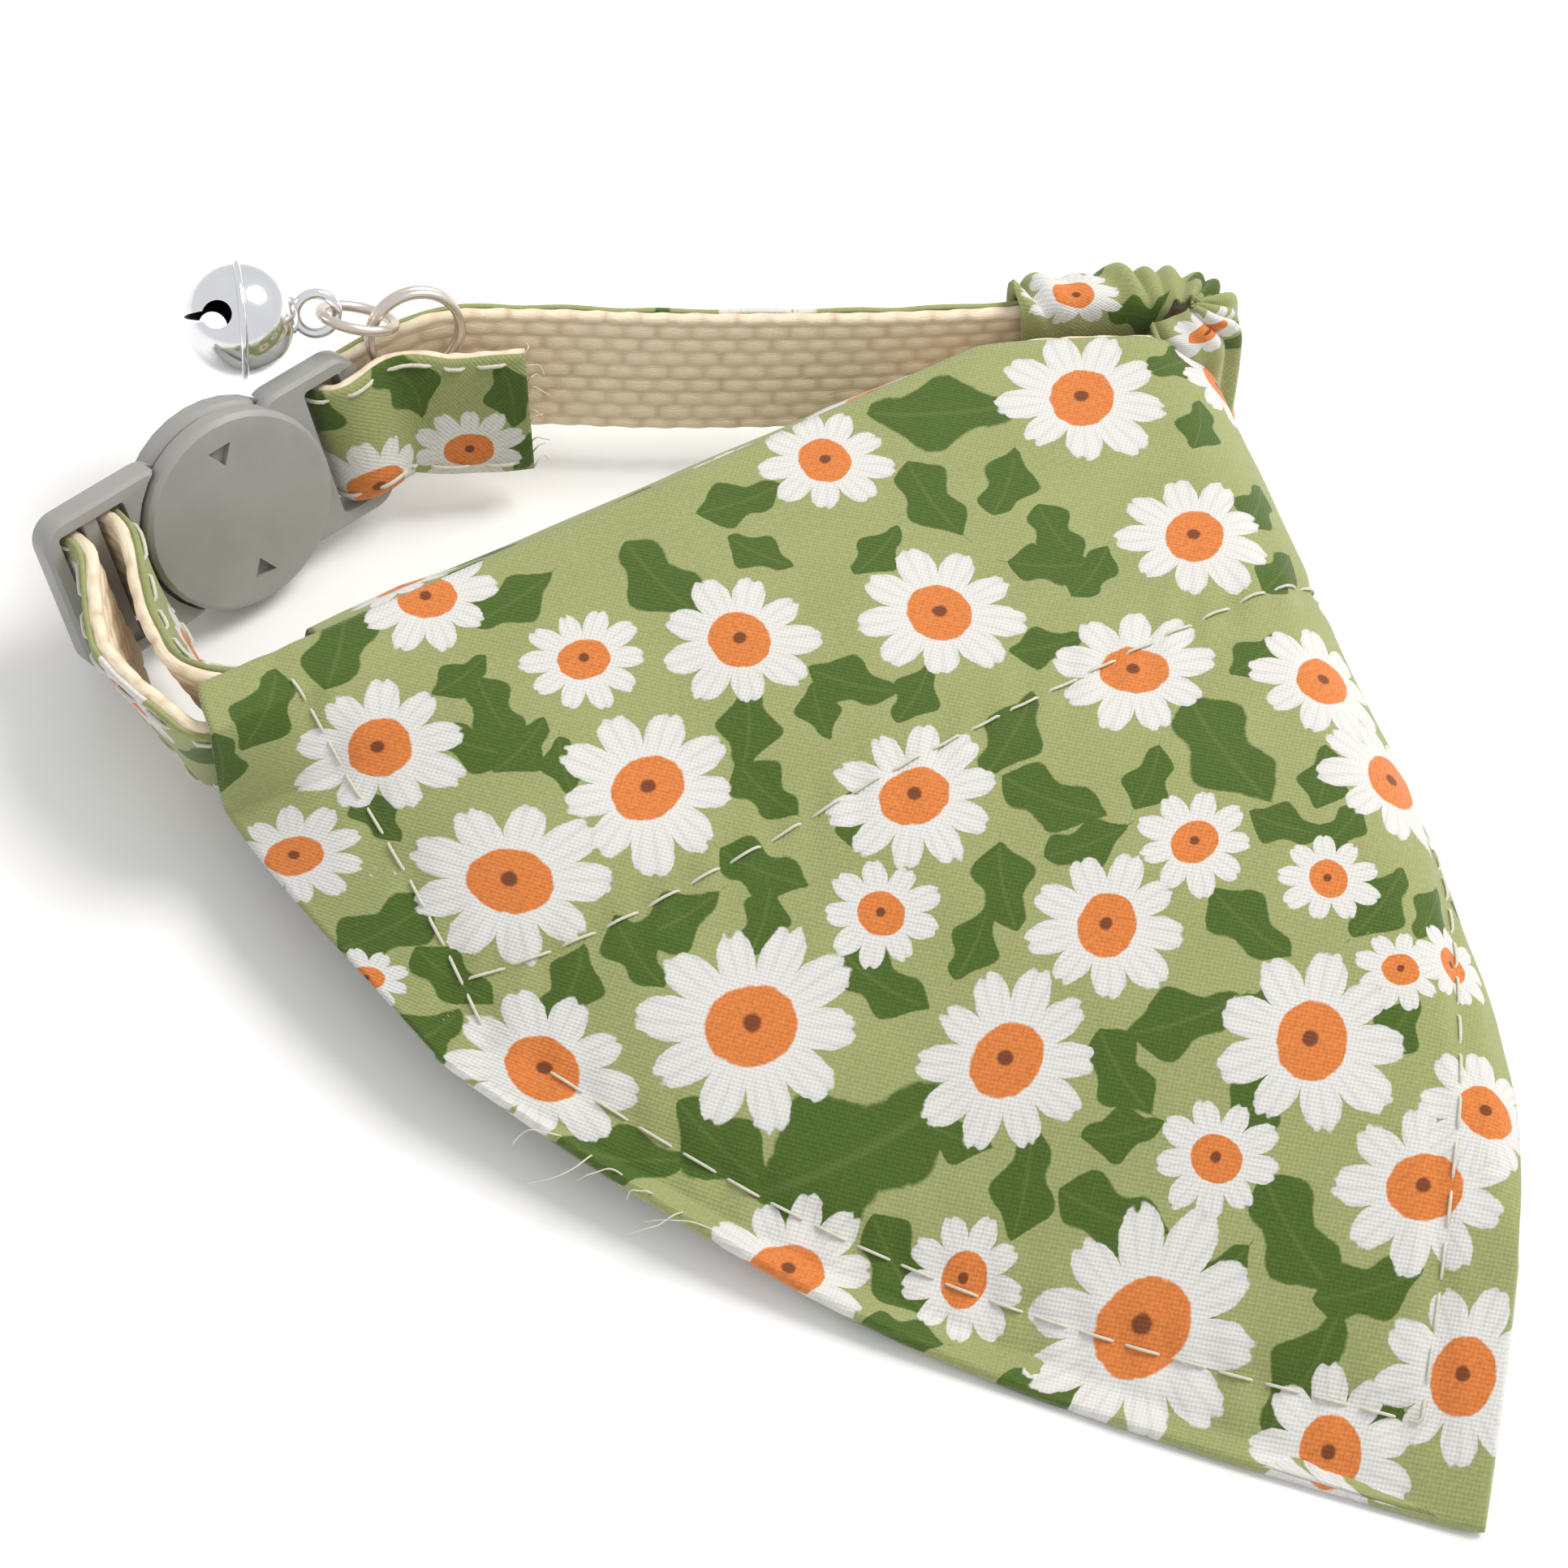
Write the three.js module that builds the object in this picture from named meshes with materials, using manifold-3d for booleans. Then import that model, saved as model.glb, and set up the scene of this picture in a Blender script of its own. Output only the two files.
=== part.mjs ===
// A small pet's bandana collar, lying on its side edge: a strap of cotton webbing under a printed
// cover, closed by a round two-part clasp, with a bell on a ring, and a folded bandana whose
// channel the strap runs through. Millimetres, +Z up, seen along +Y in its usual view.

import * as THREE from 'three';
import { mergeVertices } from 'three/addons/utils/BufferGeometryUtils.js';
import Module from 'manifold-3d';

const wasm = await Module();
wasm.setup();

// Clearances
const gap = 0.3;               // left between pieces that touch
const slotPlay = 0.35;         // between the strap's edges and what guides them

// Strap: webbing with its cover sewn on, as one band
const strapWidth = 10;
const strapThickness = 1.6;
const strapHeight = 7.9;       // of the strap's middle above the table
const strapStep = 2.4;         // longest step along the strap
const leftReach = 2.2;         // of the strap's runs, straight out of the clasp at its left

// Plan of the loop
const loopLength = 62;         // from the bandana's left end to the right turn
const loopDepth = 36;          // front to back
const originX = -2.5;          // middle of the footprint, in the plan's own coordinates
const originY = -9.75;

// Clasp
const claspX = -40.0;
const claspY = 19.3;
const claspHeading = 39.8;     // degrees, along the clasp
const claspLean = 20.6;        // degrees, top away from the loop's inside
const discRadius = 7.6;
const discThickness = 1.95;
const discEdge = 0.35;
const frameThickness = 2.4;
const frameHeight = 12.9;
const frameCorner = 2.0;
const barThickness = 1.6;
const outerBar = 1.2;
const middleBar = 1.1;
const endBar = 1.5;
const studRadius = 2.4;
const studHeight = 1.1;
const notchSize = 1.9;
const notchDepth = 0.6;
const notchPlace = 5.6;

// Ring, link and bell
const ringRadius = 3.4;        // to the middle of the wire
const ringWire = 1.2;
const ringX = -26.8;           // of its middle, in the plan
const ringY = 31.0;
const ringHeight = 13.0;
const ringHeading = 20;        // degrees, along the strap there
const ringLean = 16;           // degrees, top away from the loop's inside
const hookAngle = 150;         // degrees round the ring to where the link hangs
const hangHeading = 150;       // degrees, the way the link lies
const hangDrop = 5;           // degrees below level
const bellHeading = 190;       // degrees, the way the bell's slit side looks
const bellRise = 5;            // degrees above level
const slitHeading = -90;       // degrees, the way that the slit's first hole looks
const slitRise = 54;           // degrees above level
const linkRadius = 2.7;
const linkWire = 0.8;
const eyeRadius = 1.5;
const bellRadius = 4.2;
const bellWall = 0.7;
const bellSlot = 0.8;
const bellHole = 1.0;
const slitReach = 0.86;        // of the slit to each side, in radii
const holeDrop = 0.42;         // of the holes below the bell's middle, in radii
const bandWidth = 0.7;
const bandProud = 0.25;

// Bandana
const clothThickness = 1.0;
const neckStartX = -39.9;      // left end of the channel's fold
const neckStartY = -1.6;
const neckHeading = 29.7;      // degrees
const neckLength = 92;
const foldHeight = 13.75;      // middle of the cloth over the strap
const tipAlong = 44.5;         // where the tip hangs, along the neck edge
const tipDepth = 92;
const cornerDepth = 34.5;      // depth of the short sides
const cornerInset = 2.5;
const hemBulge = 4.0;
const channelDepth = 29.5;     // from the fold to the channel's stitching
const turnAlong = 73;          // where the cloth turns under at the right
const turnTilt = 13;           // degrees, the turn's lean towards the tip
const leastTurn = 2.6;         // smallest radius of that turn
const floorCloth = 0.5;        // middle of cloth that lies on the table
const liftLeft = 5;            // of the left hem over the table
const liftLength = 26;         // how far along the neck edge the lift fades out
const domeReach = 42;          // from the hem to full height
const sagLength = 20;          // of the left end, where the cloth hugs the strap
const sagShelf = 4.2;          // cloth lying over both strap layers there
const sagDrop = 7.5;
const settle = 0.985;          // plan length of a length of sloping cloth
const innerStart = 9;          // of the channel's back layer, along the neck edge
const innerEnd = 57;
const doubledLength = 18;      // of the channel that holds both strap layers
const bendAlong = 62;          // where the fold bends along the back strap
const bendDip = 5.2;

// Facets
const roundSides = 32;         // of the clasp's discs
const smallSides = 20;         // of the stud and the bell
const holeSides = 12;
const turnSteps = 6;           // of the strap round a bar
const ringFacets = [24, 8];    // around, and round the wire
const linkFacets = [16, 6];
const eyeFacets = [14, 6];
const frontCells = [36, 22];   // along the neck edge, and down
const innerCells = [14, 14];
const turnCells = [16, 9];
const wallCells = [4, 4];

const up = new THREE.Vector3(0, 0, 1);
const radians = THREE.MathUtils.degToRad;

function planDirection(degrees) {
  return new THREE.Vector3(Math.cos(radians(degrees)), Math.sin(radians(degrees)), 0);
}

// Axes of the clasp: along it, up its face, and out of its face into the loop
const claspAlong = planDirection(claspHeading);
const claspFace = planDirection(claspHeading - 90)
  .multiplyScalar(Math.cos(radians(claspLean)))
  .addScaledVector(up, Math.sin(radians(claspLean)));
const claspUp = claspFace.clone().cross(claspAlong);
const claspCentre = new THREE.Vector3(claspX, claspY, strapHeight);

function onClasp(along, out, rise = 0) {
  return claspCentre
    .clone()
    .addScaledVector(claspAlong, along)
    .addScaledVector(claspFace, out)
    .addScaledVector(claspUp, rise);
}

// Places of the clasp's bars and slots along it, from the disc outwards
const slotWidth = strapThickness + 2 * gap;
const innerSlot = -(discRadius + 0.2 + slotWidth / 2);
const middleBarAt = innerSlot - slotWidth / 2 - middleBar / 2;
const outerSlot = middleBarAt - middleBar / 2 - slotWidth / 2;
const leftEnd = outerSlot - slotWidth / 2 - outerBar;
const layerOffset = barThickness / 2 + gap + strapThickness / 2;
const windowStart = discRadius + 0.2;
const windowEnd = windowStart + strapThickness + layerOffset - strapThickness / 2 + 2 * gap;
const rightEnd = windowEnd + endBar;

// Solids

function toSolid(geometry) {
  const bare = geometry.clone();
  bare.deleteAttribute('normal');
  bare.deleteAttribute('uv');
  const merged = mergeVertices(bare, 1e-4);
  return new wasm.Manifold(
    new wasm.Mesh({
      numProp: 3,
      vertProperties: new Float32Array(merged.attributes.position.array),
      triVerts: new Uint32Array(merged.index.array),
    }),
  );
}

function toGeometry(solid) {
  const mesh = solid.getMesh();
  const geometry = new THREE.BufferGeometry();
  geometry.setAttribute('position', new THREE.BufferAttribute(mesh.vertProperties, 3));
  geometry.setIndex(new THREE.BufferAttribute(mesh.triVerts, 1));
  geometry.computeVertexNormals();
  return geometry;
}

// Closed skin of a list of rings with the same number of points, capped at both ends
function ringSolid(rings) {
  const count = rings[0].length;
  const position = rings.flat().flatMap((p) => [p.x, p.y, p.z]);
  const index = [];
  for (let i = 0; i + 1 < rings.length; i++) {
    for (let j = 0; j < count; j++) {
      const a = i * count + j;
      const b = i * count + ((j + 1) % count);
      index.push(a, b, b + count, a, b + count, a + count);
    }
  }
  const last = (rings.length - 1) * count;
  for (let j = 1; j + 1 < count; j++) {
    index.push(0, j + 1, j, last, last + j, last + j + 1);
  }
  const geometry = new THREE.BufferGeometry();
  geometry.setAttribute('position', new THREE.Float32BufferAttribute(position, 3));
  geometry.setIndex(index);
  return geometry;
}

// Cloth of even thickness about the surface place(s, t), with s and t from 0 to 1
function sheetSolid(place, columns, rows, thickness = clothThickness) {
  const reach = 1e-3;
  const sides = [[], []];
  for (let i = 0; i <= columns; i++) {
    for (let j = 0; j <= rows; j++) {
      const s = i / columns;
      const t = j / rows;
      const point = place(s, t);
      const across = place(Math.min(1, s + reach), t).sub(place(Math.max(0, s - reach), t));
      const down = place(s, Math.min(1, t + reach)).sub(place(s, Math.max(0, t - reach)));
      const normal = across.cross(down).normalize();
      sides[0].push(point.clone().addScaledVector(normal, thickness / 2));
      sides[1].push(point.clone().addScaledVector(normal, -thickness / 2));
    }
  }
  const position = sides.flat().flatMap((p) => [p.x, p.y, p.z]);
  const under = sides[0].length;
  const at = (i, j) => i * (rows + 1) + j;
  const index = [];
  const quad = (a, b, c, d) => index.push(a, b, c, a, c, d);
  for (let i = 0; i < columns; i++) {
    for (let j = 0; j < rows; j++) {
      const corners = [at(i, j), at(i + 1, j), at(i + 1, j + 1), at(i, j + 1)];
      quad(...corners);
      quad(...corners.reverse().map((k) => k + under));
    }
    quad(at(i + 1, 0), at(i, 0), at(i, 0) + under, at(i + 1, 0) + under);
    quad(at(i, rows), at(i + 1, rows), at(i + 1, rows) + under, at(i, rows) + under);
  }
  for (let j = 0; j < rows; j++) {
    quad(at(0, j), at(0, j + 1), at(0, j + 1) + under, at(0, j) + under);
    quad(at(columns, j + 1), at(columns, j), at(columns, j) + under, at(columns, j + 1) + under);
  }
  const geometry = new THREE.BufferGeometry();
  geometry.setAttribute('position', new THREE.Float32BufferAttribute(position, 3));
  geometry.setIndex(index);
  return geometry;
}

// Strap route

// Middle of the strap round the loop, clockwise from above, as shares of loopLength and loopDepth
// measured from the bandana's left end: along, back, and the lean of its width in degrees
const loopRows = [
  { along: 0.235, back: 0.935, lean: 20 },
  { along: 0.345, back: 0.945, lean: 19 },
  { along: 0.49, back: 0.935, lean: 19 },
  { along: 0.65, back: 0.937, lean: 17 },
  { along: 0.79, back: 0.95, lean: 12 },
  { along: 0.918, back: 0.98, lean: 4 },
  { along: 1.0, back: 1.012, lean: 2 },
  { along: 1.08, back: 1.022, lean: 1 },
  { along: 1.13, back: 1.0, lean: 0 },
  { along: 1.147, back: 0.961, lean: 0 },
  { along: 1.13, back: 0.918, lean: 0 },
  { along: 1.08, back: 0.9, lean: 1 },
  { along: 1.0, back: 0.898, lean: 2 },
  { along: 0.92, back: 0.89, lean: 5 },
  { along: 0.81, back: 0.83, lean: 12 },
  { along: 0.69, back: 0.724, lean: 16 },
  { along: 0.48, back: 0.517, lean: 18 },
  { along: 0.276, back: 0.289, lean: 18 },
  { along: 0.148, back: 0.113, lean: 18 },
  { along: 0.006, back: -0.045, lean: 17 },
  { along: -0.045, back: 0.03, lean: 16 },
  { along: -0.10, back: 0.15, lean: 18 },
];
const rightTurnFrom = 5;       // rows between which the strap doubles back at the right
const rightTurnTo = 13;

// Folded-back end of the strap inside the loop at the right of the clasp
const tailRows = [
  { along: 0.343, back: 0.83, lean: 19 },
  { along: 0.23, back: 0.77, lean: 20 },
];

// Folded-back end at the left, running into the bandana's channel
const innerRows = [
  { along: -0.05, back: 0.225, lean: 18 },
  { along: -0.012, back: 0.11, lean: 17 },
  { along: 0.03, back: 0.085, lean: 17 },
  { along: 0.131, back: 0.18, lean: 18 },
  { along: 0.20, back: 0.26, lean: 18 },
];

function planPoint({ along, back }) {
  return new THREE.Vector3(neckStartX + along * loopLength, neckStartY + back * loopDepth, strapHeight);
}

// A turn of the strap about a bar of the clasp, in steps
function turnRows(barAt, outAt, radius, from, to, steps) {
  const rows = [];
  for (let i = 0; i <= steps; i++) {
    const angle = radians(from + ((to - from) * i) / steps);
    const at = onClasp(barAt + radius * Math.cos(angle), outAt + radius * Math.sin(angle));
    rows.push({ at, width: claspUp });
  }
  return rows;
}

// Gives each row its place and the direction of the strap's width, leaning to one side of its travel
function placeRows(rows, side) {
  const places = rows.map(planPoint);
  return rows.map(({ lean }, i) => {
    const before = places[Math.max(0, i - 1)];
    const after = places[Math.min(rows.length - 1, i + 1)];
    const travel = after.clone().sub(before).normalize();
    const outward = up.clone().cross(travel).multiplyScalar(side);
    const width = up
      .clone()
      .multiplyScalar(Math.cos(radians(lean)))
      .addScaledVector(outward, Math.sin(radians(lean)));
    return { at: places[i], width };
  });
}

function strapRows() {
  const rightTurn = turnRows(windowEnd, 0, layerOffset, 90, 270, turnSteps);
  const leftRadius = (innerSlot - outerSlot) / 2;
  const leftTurn = turnRows(middleBarAt, -barThickness / 2, leftRadius, 180, 360, turnSteps);
  return [
    ...placeRows(tailRows, -1),
    { at: onClasp(rightEnd + 2, layerOffset - 0.1), width: claspUp },
    ...rightTurn,
    { at: onClasp(rightEnd + 1.2, -layerOffset), width: claspUp },
    ...placeRows(loopRows, 1),
    { at: onClasp(outerSlot, leftReach), width: claspUp },
    ...leftTurn,
    { at: onClasp(innerSlot, leftReach), width: claspUp },
    ...placeRows(innerRows, -1),
  ];
}

function strapFrames() {
  const rows = strapRows();
  const curve = new THREE.CatmullRomCurve3(rows.map((row) => row.at), false, 'centripetal');
  const spans = rows.length - 1;
  const frames = [];
  for (let i = 0; i < spans; i++) {
    const steps = Math.ceil(rows[i].at.distanceTo(rows[i + 1].at) / strapStep);
    for (let j = 0; j < steps + (i === spans - 1 ? 1 : 0); j++) {
      const t = (i + j / steps) / spans;
      const travel = curve.getTangent(t);
      const width = rows[i].width.clone().lerp(rows[i + 1].width, j / steps);
      width.addScaledVector(travel, -width.dot(travel)).normalize();
      frames.push({ at: curve.getPoint(t), width, face: travel.clone().cross(width) });
    }
  }
  return frames;
}

// The strap, or with room the space that it needs
function strap(room = 0) {
  const corners = [[1, 1], [-1, 1], [-1, -1], [1, -1]];
  const rings = strapFrames().map(({ at, width, face }) =>
    corners.map(([a, b]) =>
      at
        .clone()
        .addScaledVector(width, a * (strapWidth / 2 + room))
        .addScaledVector(face, b * (strapThickness / 2 + room)),
    ),
  );
  return ringSolid(rings);
}

// Clasp halves, in the clasp's own axes: X along, Y up its face, Z into the loop

function roundedRectangle(left, right, height, corner) {
  const shape = new THREE.Shape();
  const top = height / 2;
  shape.moveTo(left + corner, -top);
  shape.lineTo(right - corner, -top);
  shape.absarc(right - corner, -top + corner, corner, -Math.PI / 2, 0);
  shape.lineTo(right, top - corner);
  shape.absarc(right - corner, top - corner, corner, 0, Math.PI / 2);
  shape.lineTo(left + corner, top);
  shape.absarc(left + corner, top - corner, corner, Math.PI / 2, Math.PI);
  shape.lineTo(left, -top + corner);
  shape.absarc(left + corner, -top + corner, corner, Math.PI, (3 * Math.PI) / 2);
  return shape;
}

function plate(shape, low, high, bevel = 0) {
  const geometry = new THREE.ExtrudeGeometry(shape, {
    depth: high - low - 2 * bevel,
    bevelEnabled: bevel > 0,
    bevelSize: bevel,
    bevelOffset: -bevel,
    bevelThickness: bevel,
    bevelSegments: 1,
    curveSegments: 4,
  });
  return toSolid(geometry.translate(0, 0, low + bevel));
}

function discSolid(low, high, bevel = discEdge) {
  const profile = [
    [0, low],
    [discRadius - bevel, low],
    [discRadius, low + bevel],
    [discRadius, high - bevel],
    [discRadius - bevel, high],
    [0, high],
  ].map(([x, y]) => new THREE.Vector2(x, y));
  return toSolid(new THREE.LatheGeometry(profile, roundSides).rotateX(Math.PI / 2));
}

function cylinder(radius, low, high, sides = roundSides) {
  const geometry = new THREE.CylinderGeometry(radius, radius, high - low, sides).rotateX(Math.PI / 2);
  return toSolid(geometry.translate(0, 0, (low + high) / 2));
}

const discGap = gap / 2;
const discFar = discGap + discThickness;
const slotHeight = strapWidth + 2 * slotPlay;

function claspLeft() {
  const frame = roundedRectangle(leftEnd, -discRadius / 2, frameHeight, frameCorner);
  let solid = plate(frame, -frameThickness / 2, frameThickness / 2, 0.3);
  for (const at of [innerSlot, outerSlot]) {
    const slot = roundedRectangle(at - slotWidth / 2, at + slotWidth / 2, slotHeight, 0.3);
    solid = solid.subtract(plate(slot, -frameThickness, frameThickness));
  }
  const between = roundedRectangle(
    outerSlot - slotWidth / 2, innerSlot + slotWidth / 2, slotHeight, 0.3);
  for (const side of [-1, 1]) {
    const cut = [side * (barThickness / 2), side * frameThickness].sort((a, b) => a - b);
    solid = solid.subtract(plate(between, ...cut));
  }
  return solid
    .subtract(cylinder(discRadius + gap, -discGap, frameThickness))
    .add(discSolid(-discFar, -discGap))
    .add(cylinder(studRadius, -discGap - 0.2, studHeight, smallSides));
}

function notch(turn) {
  const shape = new THREE.Shape();
  shape.moveTo(-notchSize / 2, 0);
  shape.lineTo(notchSize / 2, 0);
  shape.lineTo(0, -notchSize * 0.8);
  const geometry = new THREE.ExtrudeGeometry(shape, { depth: 2 * notchDepth, bevelEnabled: false });
  geometry.translate(0, notchPlace, discFar - notchDepth).rotateZ(turn);
  return toSolid(geometry);
}

function claspRight() {
  const frame = roundedRectangle(discRadius / 2, rightEnd, frameHeight, frameCorner);
  const window = roundedRectangle(windowStart, windowEnd, slotHeight, 0.4);
  const bar = roundedRectangle(windowEnd - 0.1, rightEnd + 1, slotHeight, 0.3);
  let solid = plate(frame, -frameThickness / 2, frameThickness / 2, 0.3)
    .subtract(plate(window, -frameThickness, frameThickness))
    .subtract(cylinder(discRadius + gap, -frameThickness, discGap));
  for (const side of [-1, 1]) {
    const cut = [side * (barThickness / 2), side * frameThickness].sort((a, b) => a - b);
    solid = solid.subtract(plate(bar, ...cut));
  }
  solid = solid
    .add(discSolid(discGap, discFar))
    .subtract(cylinder(studRadius + gap, -discGap, studHeight + gap, smallSides));
  for (const turn of [0, Math.PI]) solid = solid.subtract(notch(turn));
  return solid;
}

// Ring, link and bell

// The ring stands in the pocket between the strap and its folded-back end
const ringAt = new THREE.Vector3(ringX, ringY, ringHeight);
const ringAlong = planDirection(ringHeading);
const ringFace = planDirection(ringHeading - 90)
  .multiplyScalar(Math.cos(radians(ringLean)))
  .addScaledVector(up, Math.sin(radians(ringLean)));
const ringUp = ringFace.clone().cross(ringAlong);
const linkGrip = ringWire / 2 + linkWire / 2 + 1.3 * gap;
const hookAt = ringAt
  .clone()
  .addScaledVector(ringAlong, ringRadius * Math.cos(radians(hookAngle)))
  .addScaledVector(ringUp, ringRadius * Math.sin(radians(hookAngle)));
const hangDirection = planDirection(hangHeading)
  .multiplyScalar(Math.cos(radians(hangDrop)))
  .addScaledVector(up, -Math.sin(radians(hangDrop)));
const linkCentre = hookAt.clone().addScaledVector(hangDirection, linkRadius - linkGrip);
// The link lies across the ring's wire where it hangs
function linkAxis() {
  const wireRun = ringUp
    .clone()
    .multiplyScalar(-Math.cos(radians(hookAngle)))
    .addScaledVector(ringAlong, Math.sin(radians(hookAngle)));
  wireRun.addScaledVector(hangDirection, -wireRun.dot(hangDirection)).normalize();
  return wireRun.z < 0 ? wireRun.negate() : wireRun;
}

const linkNormal = linkAxis();
const bellDirection = planDirection(bellHeading)
  .multiplyScalar(Math.cos(radians(bellRise)))
  .addScaledVector(up, Math.sin(radians(bellRise)));
// The eye takes the link's wire where the link reaches furthest the bell's way
const linkReach = bellDirection
  .clone()
  .addScaledVector(linkNormal, -bellDirection.dot(linkNormal))
  .normalize();
const eyeCentre = linkCentre
  .clone()
  .addScaledVector(linkReach, linkRadius)
  .addScaledVector(bellDirection, eyeRadius - linkWire - 1.2 * gap);
const bellCentre = eyeCentre.clone().addScaledVector(bellDirection, eyeRadius + bellRadius - 0.2);

function wireRing(radius, wire, centre, normal, [around, sides]) {
  const circle = new THREE.TorusGeometry(radius, wire / 2, sides, around);
  const turn = new THREE.Quaternion().setFromUnitVectors(up, normal);
  return circle.applyQuaternion(turn).translate(centre.x, centre.y, centre.z);
}

function bell() {
  const inner = bellRadius - bellWall;
  const ball = (radius) => toSolid(new THREE.SphereGeometry(radius, smallSides, holeSides));
  const band = cylinder(bellRadius + bandProud, -bandWidth / 2, bandWidth / 2, smallSides);
  let shell = ball(bellRadius).add(band).subtract(ball(inner));
  // slit across the bottom with a round hole at each end, the bell's top being +Z
  const slit = new THREE.BoxGeometry(2 * bellRadius * slitReach, bellSlot, bellRadius);
  slit.translate(0, 0, -bellRadius);
  shell = shell.subtract(toSolid(slit));
  for (const side of [-1, 1]) {
    const hole = new THREE.CylinderGeometry(bellHole, bellHole, bellRadius, holeSides).rotateZ(Math.PI / 2);
    hole.translate(side * bellRadius, 0, -bellRadius * holeDrop);
    shell = shell.subtract(toSolid(hole));
  }
  const slitWay = planDirection(slitHeading)
    .multiplyScalar(Math.cos(radians(slitRise)))
    .addScaledVector(up, Math.sin(radians(slitRise)));
  slitWay.addScaledVector(bellDirection, -slitWay.dot(bellDirection)).normalize();
  const top = bellDirection.clone().negate();
  const turn = new THREE.Matrix4().makeBasis(slitWay, top.clone().cross(slitWay), top);
  const body = toGeometry(shell).applyMatrix4(turn).translate(...bellCentre.toArray());
  const eyeNormal = linkReach.clone().cross(linkNormal);
  eyeNormal.addScaledVector(bellDirection, -eyeNormal.dot(bellDirection)).normalize();
  const eye = wireRing(eyeRadius, linkWire, eyeCentre, eyeNormal, eyeFacets);
  return toSolid(body).add(toSolid(eye));
}

// Bandana, in the cloth's own lengths: u along the neck edge from its left end, v down from the fold

const neckAlong = planDirection(neckHeading);
const neckDown = planDirection(neckHeading - 90);

function hemDepth(u) {
  const reach = tipAlong - cornerInset;
  const left = u <= tipAlong;
  const along = left ? u - cornerInset : 2 * tipAlong - cornerInset - u;
  const share = THREE.MathUtils.clamp(along / reach, 0, 1);
  const bulge = left ? Math.sin(Math.PI * share ** 0.9) : 0.45 * Math.sin(Math.PI * share ** 1.3);
  return cornerDepth + share * (tipDepth - cornerDepth) + hemBulge * bulge;
}

function foldDepth(u) {
  const share = Math.max(0, (u - bendAlong) / (turnAlong - bendAlong));
  return bendDip * Math.min(share, 1.5) ** 1.15;
}

// Height of the spread cloth over the table: low along the left hem, at full height by the fold
function clothHeight(u, v) {
  const run = new THREE.Vector2(tipAlong - cornerInset, tipDepth - cornerDepth);
  const length = run.length();
  const fromHem = ((u - cornerInset) * run.y - (v - cornerDepth) * run.x) / length;
  const reach = Math.min(domeReach, ((u - cornerInset) * run.y + cornerDepth * run.x) / length);
  const low = floorCloth + 0.3 + liftLeft * Math.max(0, 1 - u / liftLength) ** 1.3;
  const share = THREE.MathUtils.clamp(fromHem / reach, 0, 1);
  return low + (foldHeight - low) * Math.sin((share * Math.PI) / 2) ** 0.9;
}

function spreadPoint(u, v) {
  const hug = Math.max(0, 1 - u / sagLength) ** 2;
  const shelf = Math.min(v, sagShelf);
  const drop = THREE.MathUtils.clamp(v - sagShelf, 0, sagDrop);
  const rest = Math.max(0, v - sagShelf - sagDrop);
  const hugOut = shelf + 0.25 * drop + 0.97 * rest;
  const hugHeight = foldHeight - 0.9 * drop - 0.05 * rest;
  const out = THREE.MathUtils.lerp(v * settle, hugOut, hug);
  const height = THREE.MathUtils.lerp(clothHeight(u, v), hugHeight, hug);
  return new THREE.Vector3(neckStartX, neckStartY, height)
    .addScaledVector(neckAlong, u)
    .addScaledVector(neckDown, out);
}

// The spread cloth, turned under about a slanting roll at its right
function clothPoint(u, v) {
  const tilt = radians(turnTilt);
  const along = [-Math.sin(tilt), Math.cos(tilt)];
  const across = [Math.cos(tilt), Math.sin(tilt)];
  const down = (u - turnAlong) * along[0] + v * along[1];
  const past = (u - turnAlong) * across[0] + v * across[1];
  if (past <= 0) return spreadPoint(u, v);
  const ridge = spreadPoint(turnAlong + down * along[0], down * along[1]);
  const radius = Math.max(leastTurn, (ridge.z - floorCloth) / 2);
  const angle = Math.min(past / radius, Math.PI);
  const under = past - angle * radius;
  const outward = neckAlong.clone().multiplyScalar(across[0]).addScaledVector(neckDown, across[1]);
  ridge.addScaledVector(outward, radius * Math.sin(angle) - under);
  ridge.z = Math.max(floorCloth, ridge.z - radius * (1 - Math.cos(angle)));
  return ridge;
}

function frontSheet() {
  const place = (s, t) => {
    const u = s * neckLength;
    const top = foldDepth(u);
    const v = top + t * (hemDepth(u) - top);
    const inset = (cornerInset * Math.min(v, cornerDepth)) / cornerDepth;
    const bow = 2.2 * Math.sin(Math.PI * Math.min(1, (v / cornerDepth) ** 0.8));
    const left = (inset - bow) * Math.max(0, 1 - s * 3) ** 2;
    return clothPoint(Math.max(u + left, -3), v);
  };
  return toSolid(sheetSolid(place, ...frontCells));
}

// Rounded run through the corners of a section, as [out, height] pairs
function sectionPoint(corners, t) {
  const curve = new THREE.SplineCurve(corners.map(([out, height]) => new THREE.Vector2(out, height)));
  return curve.getPoint(t);
}

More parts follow.
